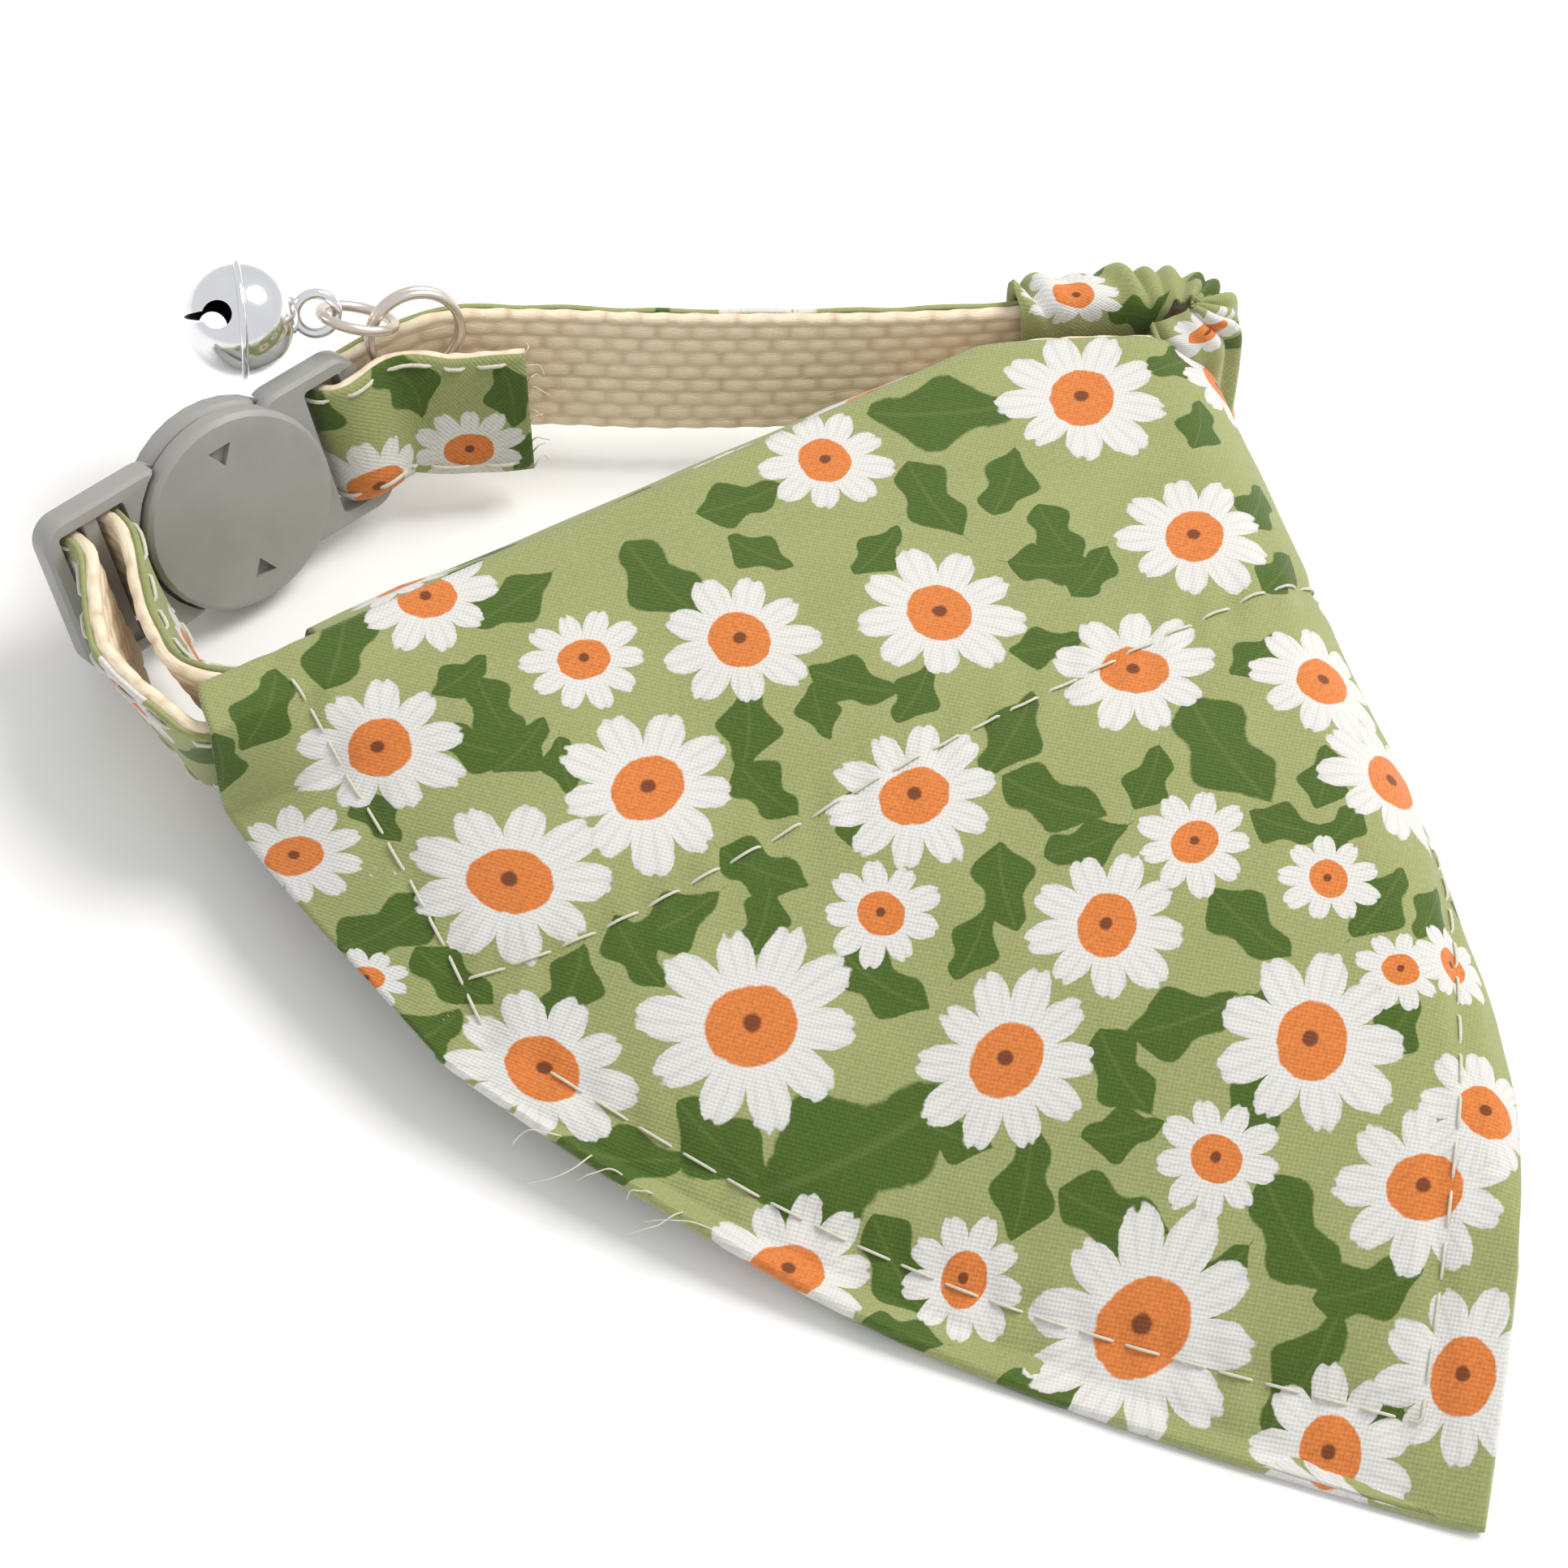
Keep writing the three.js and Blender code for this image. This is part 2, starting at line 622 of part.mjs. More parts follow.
// Back layer of the channel: down behind the strap, under it and out to the stitching
function innerSheet() {
  const standOff = strapThickness / 2 + gap + clothThickness / 2;
  const place = (s, t) => {
    const u = THREE.MathUtils.lerp(innerStart, innerEnd, s);
    const doubled = 1 - THREE.MathUtils.smoothstep(u, doubledLength - 6, doubledLength);
    const top = foldDepth(u) - doubled * layerOffset;
    const ending = THREE.MathUtils.smoothstep(u, innerEnd - 16, innerEnd);
    const lean = THREE.MathUtils.lerp(strapWidth * 0.31, 1.6, ending);
    const seam = clothPoint(u, channelDepth);
    const low = floorCloth + clothThickness + gap;
    const corners = [
      [foldDepth(u) + 0.4, foldHeight],
      [top - 1.2, foldHeight - 0.1],
      [top - standOff - 0.9, foldHeight - 1.8],
      [top - standOff - 0.9 - lean, low + 1.6],
      [top - standOff - lean, low],
      [top + 2, low + 0.3],
      [THREE.MathUtils.lerp(top, channelDepth, 0.5), (low + seam.z) / 2 - 0.4],
      [channelDepth * settle, seam.z],
    ];
    const { x: out, y: height } = sectionPoint(corners, t);
    return new THREE.Vector3(neckStartX, neckStartY, height)
      .addScaledVector(neckAlong, u)
      .addScaledVector(neckDown, out);
  };
  return toSolid(sheetSolid(place, ...innerCells));
}

// Channel round the right turn of the strap: an outer wall to the table and a roof over both runs
function turnSheet() {
  const rows = loopRows.slice(rightTurnFrom, rightTurnTo);
  const curve = new THREE.CatmullRomCurve3(rows.map(planPoint), false, 'centripetal');
  const standOff = strapThickness / 2 + gap + clothThickness / 2;
  const corners = [
    [standOff + 1.0, floorCloth],
    [standOff + 0.5, floorCloth + 3],
    [standOff + 0.3, foldHeight - 4],
    [standOff + 0.1, foldHeight - 1.2],
    [standOff - 0.8, foldHeight],
    [-standOff - 0.2, foldHeight],
  ];
  const place = (s, t) => {
    const at = curve.getPoint(s);
    const outward = up.clone().cross(curve.getTangent(s)).normalize();
    const { x: out, y: height } = sectionPoint(corners, t);
    at.z = height;
    return at.addScaledVector(outward, out);
  };
  return toSolid(sheetSolid(place, ...turnCells));
}

// Wall between the two runs of the strap at the right, and the cloth turned under on the table
function innerWall() {
  const [back, front] = [rightTurnFrom, rightTurnTo].map((row) => planPoint(loopRows[row]));
  const [backEnd, frontEnd] = [rightTurnFrom + 2, rightTurnTo - 2].map((row) => planPoint(loopRows[row]));
  const start = back.lerp(front, 0.5);
  const end = start.clone().lerp(backEnd.lerp(frontEnd, 0.5), 0.8);
  const place = (s, t) => {
    const at = start.clone().lerp(end, s);
    at.z = THREE.MathUtils.lerp(foldHeight, floorCloth, t);
    return at;
  };
  return toSolid(sheetSolid(place, ...wallCells));
}

const underRows = [
  { along: 0.93, back: 1.05 },
  { along: 1.15, back: 1.06 },
  { along: 1.16, back: 0.87 },
  { along: 1.2, back: 0.18 },
  { along: 1.26, back: -0.24 },
  { along: 1.18, back: -0.24 },
  { along: 1.04, back: 0.12 },
  { along: 0.93, back: 0.5 },
];

function underSheet() {
  const outline = new THREE.Shape(underRows.map(planPoint).map(({ x, y }) => new THREE.Vector2(x, y)));
  const low = floorCloth - clothThickness / 2;
  const slab = new THREE.ExtrudeGeometry(outline, { depth: clothThickness, bevelEnabled: false });
  return toSolid(slab.translate(0, 0, low));
}

function bandana() {
  const whole = [innerSheet(), turnSheet(), innerWall(), underSheet()].reduce(
    (sum, sheet) => sum.add(sheet),
    frontSheet(),
  );
  const bodies = whole.subtract(toSolid(strap(gap))).decompose();
  return bodies.sort((a, b) => b.volume() - a.volume())[0];
}

const materials = {
  print: new THREE.MeshStandardMaterial({ color: 0xa9b878, roughness: 0.9, metalness: 0 }),
  webbing: new THREE.MeshStandardMaterial({ color: 0xeed6ac, roughness: 0.9, metalness: 0 }),
  plastic: new THREE.MeshStandardMaterial({ color: 0x9c9c96, roughness: 0.5, metalness: 0 }),
  nickel: new THREE.MeshStandardMaterial({ color: 0xb9aca0, roughness: 0.3, metalness: 1 }),
  bell: new THREE.MeshStandardMaterial({ color: 0xdfe0e4, roughness: 0.2, metalness: 1 }),
};

const collar = new THREE.Group();
collar.position.set(-originX, -originY, 0);

function piece(name, geometry, material, parent = collar) {
  const mesh = new THREE.Mesh(geometry, material);
  mesh.name = name;
  parent.add(mesh);
  return mesh;
}

const clasp = new THREE.Group();
clasp.position.copy(claspCentre);
clasp.quaternion.setFromRotationMatrix(new THREE.Matrix4().makeBasis(claspAlong, claspUp, claspFace));
collar.add(clasp);

piece('strap', strap(), materials.webbing);
piece('clasp_left_half', toGeometry(claspLeft()), materials.plastic, clasp);
piece('clasp_right_half', toGeometry(claspRight()), materials.plastic, clasp);
piece('ring', wireRing(ringRadius, ringWire, ringAt, ringFace, ringFacets), materials.nickel);
piece('link', wireRing(linkRadius, linkWire, linkCentre, linkNormal, linkFacets), materials.nickel);
piece('bell', toGeometry(bell()), materials.bell);
piece('bandana', toGeometry(bandana()), materials.print);

export default collar;
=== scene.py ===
import math

import bmesh
import bpy
from mathutils import Matrix, Vector, noise


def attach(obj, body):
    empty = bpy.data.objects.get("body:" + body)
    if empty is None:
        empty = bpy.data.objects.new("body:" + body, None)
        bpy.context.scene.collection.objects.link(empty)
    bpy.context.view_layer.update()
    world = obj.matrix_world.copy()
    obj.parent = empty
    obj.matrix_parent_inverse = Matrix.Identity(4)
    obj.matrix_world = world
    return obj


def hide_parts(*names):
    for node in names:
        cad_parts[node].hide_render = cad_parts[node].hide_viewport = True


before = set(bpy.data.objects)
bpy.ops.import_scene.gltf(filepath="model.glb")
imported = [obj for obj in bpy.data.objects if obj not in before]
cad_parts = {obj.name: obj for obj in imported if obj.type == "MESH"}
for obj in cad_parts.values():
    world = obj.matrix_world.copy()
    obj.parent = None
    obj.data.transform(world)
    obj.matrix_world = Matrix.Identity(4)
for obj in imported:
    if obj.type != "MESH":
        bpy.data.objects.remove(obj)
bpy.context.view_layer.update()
mm = 0.001


class Wire:
    # one socket of a material; arithmetic on it adds Math nodes
    def __init__(self, finish, socket):
        self.finish = finish
        self.socket = socket

    def maths(self, operation, *others):
        values = {0: self}
        values.update({i + 1: other for i, other in enumerate(others)})
        return self.finish.node("Math", {"operation": operation}, values)

    def __add__(self, other):
        return self.maths("ADD", other)

    __radd__ = __add__

    def __mul__(self, other):
        return self.maths("MULTIPLY", other)

    __rmul__ = __mul__

    def __sub__(self, other):
        return self.maths("SUBTRACT", other)

    def __rsub__(self, other):
        return self.finish.node("Math", {"operation": "SUBTRACT"}, {0: other, 1: self})

    def between(self, low, high):
        values = {"Value": self, "From Min": low, "From Max": high}
        return self.finish.node("MapRange", {"interpolation_type": "SMOOTHSTEP"}, values)


class Finish:
    # a material and its node tree
    def __init__(self, name):
        self.material = bpy.data.materials.new(name)
        self.material.use_nodes = True
        self.tree = self.material.node_tree
        self.tree.nodes.clear()

    def node(self, kind, settings=None, values=None, out=0):
        made = self.tree.nodes.new("ShaderNode" + kind)
        for key, value in (settings or {}).items():
            setattr(made, key, value)
        for key, value in (values or {}).items():
            if isinstance(value, Wire):
                self.tree.links.new(value.socket, made.inputs[key])
            else:
                made.inputs[key].default_value = value
        return Wire(self, made.outputs[out])

    def field(self, name, out="Fac"):
        return self.node("Attribute", {"attribute_name": name}, out=out)

    def split(self, vector):
        made = self.node("SeparateXYZ", {}, {0: vector})
        return [Wire(self, made.socket.node.outputs[axis]) for axis in "XYZ"]

    def blend(self, factor, a, b, kind="MIX"):
        a, b = [(*c, 1) if isinstance(c, tuple) else c for c in (a, b)]
        return self.node("Mix", {"data_type": "RGBA", "blend_type": kind}, {0: factor, 6: a, 7: b}, 2)

    def speckle(self, scale, detail, where=None):
        where = where or self.node("TexCoord", out="Object")
        return self.node("TexNoise", {}, {"Vector": where, "Scale": scale, "Detail": detail})

    def surface(self, **values):
        named = {key.replace("_", " "): value for key, value in values.items()}
        shader = self.node("BsdfPrincipled", {}, named)
        output = self.tree.nodes.new("ShaderNodeOutputMaterial")
        self.tree.links.new(shader.socket, output.inputs["Surface"])
        return self.material


collarPlace = Vector((2.5, 9.75, 0.0))  # from the plan's corner to the middle of the footprint, mm
up = Vector((0, 0, 1))

# in mm, degrees and shares; u runs along the neck edge from its left end, v down the cloth
bandanaShape = {
    "neckStart": (-39.9, -1.6),
    "neckHeading": 29.7,
    "neckLength": 92.0,
    "foldHeight": 13.75,
    "tipAlong": 44.5,
    "tipDepth": 92.0,
    "cornerDepth": 34.5,
    "cornerInset": 2.5,
    "cornerPasses": 3,
    "sideBow": 2.2,
    "bowCurve": 0.8,
    "sideShare": 1 / 3,
    "leastAlong": -3.0,
    "hemBulge": 4.0,
    "bulgeCurve": 0.9,
    "rightBulge": 0.45,
    "rightCurve": 1.3,
    "channelDepth": 29.5,
    "turnAlong": 73.0,
    "turnTilt": 13.0,
    "leastTurn": 2.6,
    "floorCloth": 0.5,
    "edgeLift": 0.3,
    "liftLeft": 5.0,
    "liftLength": 26.0,
    "liftCurve": 1.3,
    "domeReach": 42.0,
    "domeCurve": 0.9,
    "sagLength": 20.0,
    "sagShelf": 4.2,
    "sagDrop": 7.5,
    "sagOut": 0.25,
    "sagFall": 0.9,
    "restOut": 0.97,
    "restFall": 0.05,
    "settle": 0.985,
    "bendAlong": 62.0,
    "bendDip": 5.2,
    "bendMost": 1.5,
    "bendCurve": 1.15,
    "cloth": 0.42,
    "columns": 190,
    "rows": 150,
}


def planDirection(degrees):
    return Vector((math.cos(math.radians(degrees)), math.sin(math.radians(degrees)), 0.0))


def raised(heading, rise):
    return planDirection(heading) * math.cos(math.radians(rise)) + up * math.sin(math.radians(rise))


def clamp(value, low=0.0, high=1.0):
    return max(low, min(high, value))


def mixed(a, b, share):
    return a + (b - a) * share


def eased(value, start, end):
    share = clamp((value - start) / (end - start))
    return share * share * (3 - 2 * share)


# a smooth run through points at share t, and the way that it goes there
def smoothRun(points, t):
    spans = len(points) - 1
    i = min(int(t * spans), spans - 1)
    f = t * spans - i
    p0, p1, p2, p3 = [Vector(points[min(max(k, 0), spans)]) for k in (i - 1, i, i + 1, i + 2)]
    m1, m2 = (p2 - p0) / 2, (p3 - p1) / 2
    cubic, square = (p1 - p2) * 2 + m1 + m2, (p2 - p1) * 3 - m1 * 2 - m2
    return cubic * f**3 + square * f**2 + m1 * f + p1, cubic * 3 * f**2 + square * 2 * f + m1


neckStart = Vector((*bandanaShape["neckStart"], 0.0))
neckAlong = planDirection(bandanaShape["neckHeading"])
neckDown = planDirection(bandanaShape["neckHeading"] - 90)


def hemDepth(u):
    b = bandanaShape
    reach = b["tipAlong"] - b["cornerInset"]
    left = u <= b["tipAlong"]
    share = clamp((u - b["cornerInset"] if left else 2 * b["tipAlong"] - b["cornerInset"] - u) / reach)
    most, curve = (1.0, b["bulgeCurve"]) if left else (b["rightBulge"], b["rightCurve"])
    bulge = b["hemBulge"] * most * math.sin(math.pi * share**curve)
    return mixed(b["cornerDepth"], b["tipDepth"], share) + bulge


def foldDepth(u):
    b = bandanaShape
    share = max(0.0, (u - b["bendAlong"]) / (b["turnAlong"] - b["bendAlong"]))
    return b["bendDip"] * min(share, b["bendMost"]) ** b["bendCurve"]


# a dome from the hem up to the fold; the hem's left end is lifted off the table
def clothHeight(u, v):
    b = bandanaShape
    runX, runY = b["tipAlong"] - b["cornerInset"], b["tipDepth"] - b["cornerDepth"]
    length = math.hypot(runX, runY)
    fromHem = ((u - b["cornerInset"]) * runY - (v - b["cornerDepth"]) * runX) / length
    reach = min(b["domeReach"], ((u - b["cornerInset"]) * runY + b["cornerDepth"] * runX) / length)
    lift = b["liftLeft"] * max(0.0, 1 - u / b["liftLength"]) ** b["liftCurve"]
    low = b["floorCloth"] + b["edgeLift"] + lift
    share = clamp(fromHem / reach)
    return low + (b["foldHeight"] - low) * math.sin(share * math.pi / 2) ** b["domeCurve"]


# the cloth up to its right turn; at the left end it hugs the strap, drops and lies out
def spreadPoint(u, v):
    b = bandanaShape
    hug = max(0.0, 1 - u / b["sagLength"]) ** 2
    shelf = min(v, b["sagShelf"])
    drop = clamp(v - b["sagShelf"], 0, b["sagDrop"])
    rest = max(0.0, v - b["sagShelf"] - b["sagDrop"])
    out = mixed(v * b["settle"], shelf + b["sagOut"] * drop + b["restOut"] * rest, hug)
    hugging = b["foldHeight"] - b["sagFall"] * drop - b["restFall"] * rest
    height = mixed(clothHeight(u, v), hugging, hug)
    return neckStart + neckAlong * u + neckDown * out + up * height


# past the turn the cloth rolls over in a half circle and runs back
def clothPoint(u, v):
    b = bandanaShape
    tilt = math.radians(b["turnTilt"])
    down = -(u - b["turnAlong"]) * math.sin(tilt) + v * math.cos(tilt)
    past = (u - b["turnAlong"]) * math.cos(tilt) + v * math.sin(tilt)
    if past <= 0:
        return spreadPoint(u, v)
    ridge = spreadPoint(b["turnAlong"] - down * math.sin(tilt), down * math.cos(tilt))
    radius = max(b["leastTurn"], (ridge.z - b["floorCloth"]) / 2)
    angle = min(past / radius, math.pi)
    outward = neckAlong * math.cos(tilt) + neckDown * math.sin(tilt)
    ridge += outward * (radius * math.sin(angle) - (past - angle * radius))
    ridge.z = max(b["floorCloth"], ridge.z - radius * (1 - math.cos(angle)))
    return ridge


# the cloth coordinates at shares s and t of the front; a few passes settle its bowed left side
def frontCoords(s, t):
    b = bandanaShape
    start = s * b["neckLength"]
    u = start
    for again in range(b["cornerPasses"]):
        top = foldDepth(u)
        v = top + t * (hemDepth(u) - top)
        inset = b["cornerInset"] * min(v, b["cornerDepth"]) / b["cornerDepth"]
        downSide = min(1.0, (max(v, 0.0) / b["cornerDepth"]) ** b["bowCurve"])
        bow = b["sideBow"] * math.sin(math.pi * downSide)
        u = max(start + (inset - bow) * max(0.0, 1 - s / b["sideShare"]) ** 2, b["leastAlong"])
    return u, v


# the print, charted in cloth millimetres: middle along, middle down, radius, turn in degrees
daisies = [
    (66, 8, 6.2, 39), (47, 4, 4.9, 1), (66, 23, 5.5, 33), (78, 10, 4.3, 55), (47, 20, 5.9, 1),
    (56, 31, 5.5, 58), (34, 15, 5.5, 10), (24, 11, 4.3, 11), (17, 1, 4.9, 61), (9, 11, 5.6, 66),
    (23, 22, 6.2, 6), (38, 32, 5.7, 17), (1, 17, 4.3, 38), (12, 24, 6.3, 52), (67, 38, 5.2, 24),
    (67, 47, 5.5, 36), (52, 45, 4.0, 6), (44, 47, 5.3, 39), (32, 38, 3.9, 28), (58, 52, 3.4, 63),
    (8, 37, 5.7, 1), (21, 40, 7.2, 2), (34, 51, 6.0, 38), (51, 61, 6.2, 45), (58.5, 60, 3.0, 52),
    (62.6, 61, 3.1, 57), (42, 64, 4.0, 31), (52, 73, 5.7, 64), (58, 71, 4.6, 19), (15.5, 55, 5.4, 11),
    (25, 61, 4.0, 33), (33, 70, 7.5, 26), (48, 84, 5.5, 33), (39, 83, 5.2, 60), (1, 28, 2.6, 3),
    (84, 22, 5.4, 20), (82, 34, 5.0, 50), (86, 5, 5.0, 15), (76, 52, 5.2, 40), (92, 14, 5.0, 5),
]
# leaves: middle along, middle down, length, width, heading in degrees
leaves = [
    (10, 1, 9.1, 3.6, -55), (3, 4, 7.2, 3.3, -50), (-1, 7, 5.4, 2.4, -85), (17, 12, 6.6, 2.7, 90),
    (15, 14, 6.6, 2.7, 45), (17, 15, 5.4, 2.7, -25), (4, 24, 7.8, 3.3, -20), (6, 29, 6.0, 2.7, 65),
    (2, 33, 7.2, 3.0, -25), (22, 4, 7.2, 3.0, -10), (32, 8, 9.1, 3.6, 80), (40, 4, 6.6, 3.0, 5),
    (39, 9, 5.4, 2.4, 60), (52, 11, 7.8, 3.3, 90), (46, 13, 5.4, 2.4, -25), (57, 4, 11.5, 4.8, 25),
    (57, 12, 6.6, 3.0, -45), (58, 18, 6.0, 2.7, 90), (56, 20, 6.0, 2.7, 30), (58, 22, 5.4, 2.4, -30),
    (72, 14, 5.4, 2.4, -50), (74, 8, 5.4, 2.4, -10), (72, 22, 6.0, 2.4, -40), (70, 28, 5.4, 2.4, -30),
    (39, 22, 6.6, 3.0, 50), (42, 25, 5.4, 2.4, -35), (31, 21, 6.6, 3.0, -60), (30, 26, 6.0, 2.7, 75),
    (46, 31, 7.8, 3.0, -35), (46, 37, 7.8, 3.3, 55), (46, 41, 6.0, 2.7, 10), (40, 41, 6.6, 3.0, 110),
    (52, 39, 5.4, 2.4, -40), (58, 40, 10.3, 4.5, 90), (64, 34, 5.4, 2.4, -15), (62, 45, 5.4, 2.4, -50),
    (58, 47, 5.4, 2.4, 50), (61, 49, 4.8, 2.1, -20), (52, 52, 7.2, 3.0, 75), (60, 55, 6.6, 2.7, -25),
    (63, 57, 5.4, 2.1, -35), (45, 55, 7.8, 3.3, 15), (40, 56, 6.6, 3.0, 90), (38, 59, 5.4, 2.4, 25),
    (56, 63, 5.4, 2.4, -25), (27, 31, 6.6, 3.0, 55), (20, 31, 7.2, 3.0, 0), (25, 34, 5.4, 2.4, -45),
    (17, 32, 6.0, 2.7, 85), (30, 42, 7.2, 3.0, 65), (36, 43, 5.4, 2.4, -35), (16, 46, 8.4, 3.6, 70),
    (23, 50, 14.5, 6.6, 5), (31, 58, 7.2, 3.0, -50), (35, 63, 7.8, 3.3, 55), (44, 71, 9.1, 3.6, 90),
    (46, 76, 7.2, 3.0, 20), (40, 78, 8.4, 3.6, -25), (10, 44, 7.8, 3.3, 25), (22, 58, 7.2, 3.0, 90),
    (20, 62, 5.4, 2.4, 45), (12, 32, 6.0, 2.7, -45), (36, 23, 4.8, 2.1, 105), (52, 26, 5.4, 2.4, 15),
    (46, 62, 6.6, 2.7, -25), (38, 70, 6.0, 2.7, -5), (26, 70, 6.6, 2.7, 45), (42, 83, 6.6, 2.7, 45),
    (7, 16, 4.8, 2.1, 85), (34, 31, 4.8, 2.1, -55), (29, 53, 5.4, 2.4, 55), (50, 57, 4.2, 1.8, 10),
    (19, 18, 4.8, 2.1, 105), (16, 8, 4.8, 2.1, -15), (78, 28, 7.0, 3.0, 40), (88, 28, 7.0, 3.0, 80),
    (80, 43, 7.5, 3.2, 60), (70, 58, 7.0, 3.0, 30), (92, 8, 7.0, 3.0, 60),
]
# a daisy in shares of its radius; each wander moves a printed edge, each blur is how soft it is
daisyShape = {
    "petals": 9, "reach": 0.99, "notch": 0.42, "notchCurve": 0.6, "nick": 0.05, "nickCurve": 14.0,
    "wave3": 0.05, "wave2": 0.04, "wander": 0.16, "blur": (-0.012, 0.022),
    "heart": 0.40, "heartWave": 0.03, "heartWander": 0.07, "heartBlur": (-0.012, 0.018),
    "dot": 0.085, "dotOff": 0.02, "dotWander": 0.05, "dotBlur": (-0.02, 0.02),
    "rays": 0.3, "raysFrom": (0.35, 0.6), "rim": 0.12, "rimShade": 0.25, "surround": 1.12,
}
# a leaf in shares of its half length and half width
leafShape = {
    "widen": 1.5, "blunt": 0.8, "taper": 0.25, "lobes": 0.22, "lobeStep": 5.4, "curl": 0.16,
    "wander": 0.16, "blur": (-0.03, 0.06), "rib": (0.02, 0.09), "ribEnds": (0.1, 0.3), "surround": 0.6,
}
printLayers = {"daisy": 3, "leaf": 4, "clear": 0.8, "furthest": -9.0, "nowhere": (3.0, 3.0, 0.0)}


# rows far enough apart share a layer, so that each place in a layer belongs to one of them only
def inLayers(rows, reach, count):
    layers = [[] for k in range(count)]

    def apart(row, other):
        return math.hypot(row[0] - other[0], row[1] - other[1]) - reach(row) - reach(other)

    for row in rows:
        room = [min((apart(row, other) for other in layer), default=math.inf) for layer in layers]
        free = [k for k in range(count) if room[k] > printLayers["clear"]]
        layers[free[0] if free else room.index(max(room))].append(row)
    return layers


def daisyReach(row):
    return row[2] * daisyShape["surround"]


def leafReach(row):
    return row[2] * leafShape["surround"]


# a place turned about the middle
def turned(x, y, degrees):
    c, s = math.cos(math.radians(degrees)), math.sin(math.radians(degrees))
    return x * c - y * s, x * s + y * c


# for the nearest daisy of a layer: distance in mm within its surround, and the place in it in radii
def daisyFields(u, v, rows):
    best = (printLayers["furthest"], printLayers["nowhere"])
    for row in rows:
        along, down, radius, turn = row
        inside = daisyReach(row) - math.hypot(u - along, v - down)
        if inside > best[0]:
            x, y = turned(u - along, v - down, turn)
            petals = daisyShape["petals"] + 0.2 + (turn % 3) * 0.5  # daisyLook floors it to count petals
            best = (inside, (x / radius, y / radius, petals))
    return best


def leafFields(u, v, rows):
    best = (printLayers["furthest"], printLayers["nowhere"])
    for row in rows:
        along, down, length, width, heading = row
        inside = leafReach(row) - math.hypot(u - along, v - down)
        if inside > best[0]:
            x, y = turned(u - along, v - down, -heading)
            p, q = x / (length / 2), y / (width * leafShape["widen"] / 2)
            best = (inside, (p, q - leafShape["curl"] * (1 - p * p), abs(heading) % 7))
    return best


# 1 inside the surrounds of a layer's daisies or leaves
def inSurround(f, name):
    return f.field(name + "In").between(-0.05, 0.05)


# masks of one layer's daisies: petals, their shading, heart and dot
def daisyLook(f, name, wander):
    d = daisyShape
    x, y, petals = f.split(f.field(name, "Vector"))
    away = (x * x + y * y).maths("SQRT")
    angle = y.maths("ARCTAN2", x)
    count = petals.maths("FLOOR")
    lobe = (angle * count * 0.5).maths("COSINE").maths("ABSOLUTE").maths("POWER", d["notchCurve"])
    nick = (angle * count).maths("COSINE").maths("MAXIMUM", 0.0).maths("POWER", d["nickCurve"])
    uneven = (angle * 3 + petals * 7).maths("SINE") * d["wave3"]
    uneven += (angle * 2 + petals * 3).maths("COSINE") * d["wave2"]
    edge = d["reach"] - (1 - lobe) * d["notch"] - nick * d["nick"] + uneven
    petal = (edge - away + wander * d["wander"]).between(*d["blur"]) * inSurround(f, name)
    bulge = (angle * 2 + petals * 5).maths("SINE") * d["heartWave"] + d["heart"]
    heart = (bulge - away + wander * d["heartWander"]).between(*d["heartBlur"]) * petal
    dotX, dotY = x - d["dotOff"], y + d["dotOff"]
    fromDot = (dotX * dotX + dotY * dotY).maths("SQRT")
    dot = (d["dot"] - fromDot + wander * d["dotWander"]).between(*d["dotBlur"]) * petal
    rays = (angle * count * 3 + 1.2).maths("COSINE").between(0.2, 1.0) * away.between(*d["raysFrom"])
    shade = rays * d["rays"] + (1 - (edge - away).between(0.0, d["rim"])) * d["rimShade"]
    return petal, shade, heart, dot


# masks of one layer's leaves: blade and midrib
def leafLook(f, name, wander):
    s = leafShape
    p, q, kind = f.split(f.field(name, "Vector"))
    fromRib = q.maths("ABSOLUTE")
    body = (1 - p * p).maths("MAXIMUM", 0.0).maths("POWER", s["blunt"]) * (1.04 - p * s["taper"])
    side = (q * 9).maths("MAXIMUM", -1.0).maths("MINIMUM", 1.0)
    lobed = (p * s["lobeStep"] + side * 0.8 + kind * 1.7).maths("COSINE") * s["lobes"] + (1 - s["lobes"])
    inside = body * lobed - fromRib + wander * s["wander"]
    leaf = inside.between(*s["blur"]) * inSurround(f, name)
    return leaf, (1 - fromRib.between(*s["rib"])) * inside.between(*s["ribEnds"])


# a colour made darker or lighter
def shaded(colour, share):
    return tuple(k * share for k in colour)


# colours are linear; speckle scales are per mm; weaveShade is painted shade for the hollows of the weave
printLook = {
    "ground": (0.305, 0.335, 0.130), "leaf": (0.057, 0.106, 0.010), "rib": (0.13, 0.18, 0.04),
    "petal": (0.70, 0.69, 0.66), "petalShade": (0.50, 0.50, 0.50), "orange": (0.72, 0.215, 0.045),
    "dot": (0.13, 0.03, 0.008), "threadsPerMm": 2.6, "weaveShade": (0.62, 0.62, 0.60), "weave": 0.22,
    "wander": 1.1, "grain": 3.2, "blotches": 0.16, "nap": 5.0, "depth": 0.00012,
}


def clothMillimetres(f):
    charted = f.node("UVMap", {"uv_map": "cloth"})
    return f.node("VectorMath", {"operation": "SCALE"}, {0: charted, "Scale": 100.0})


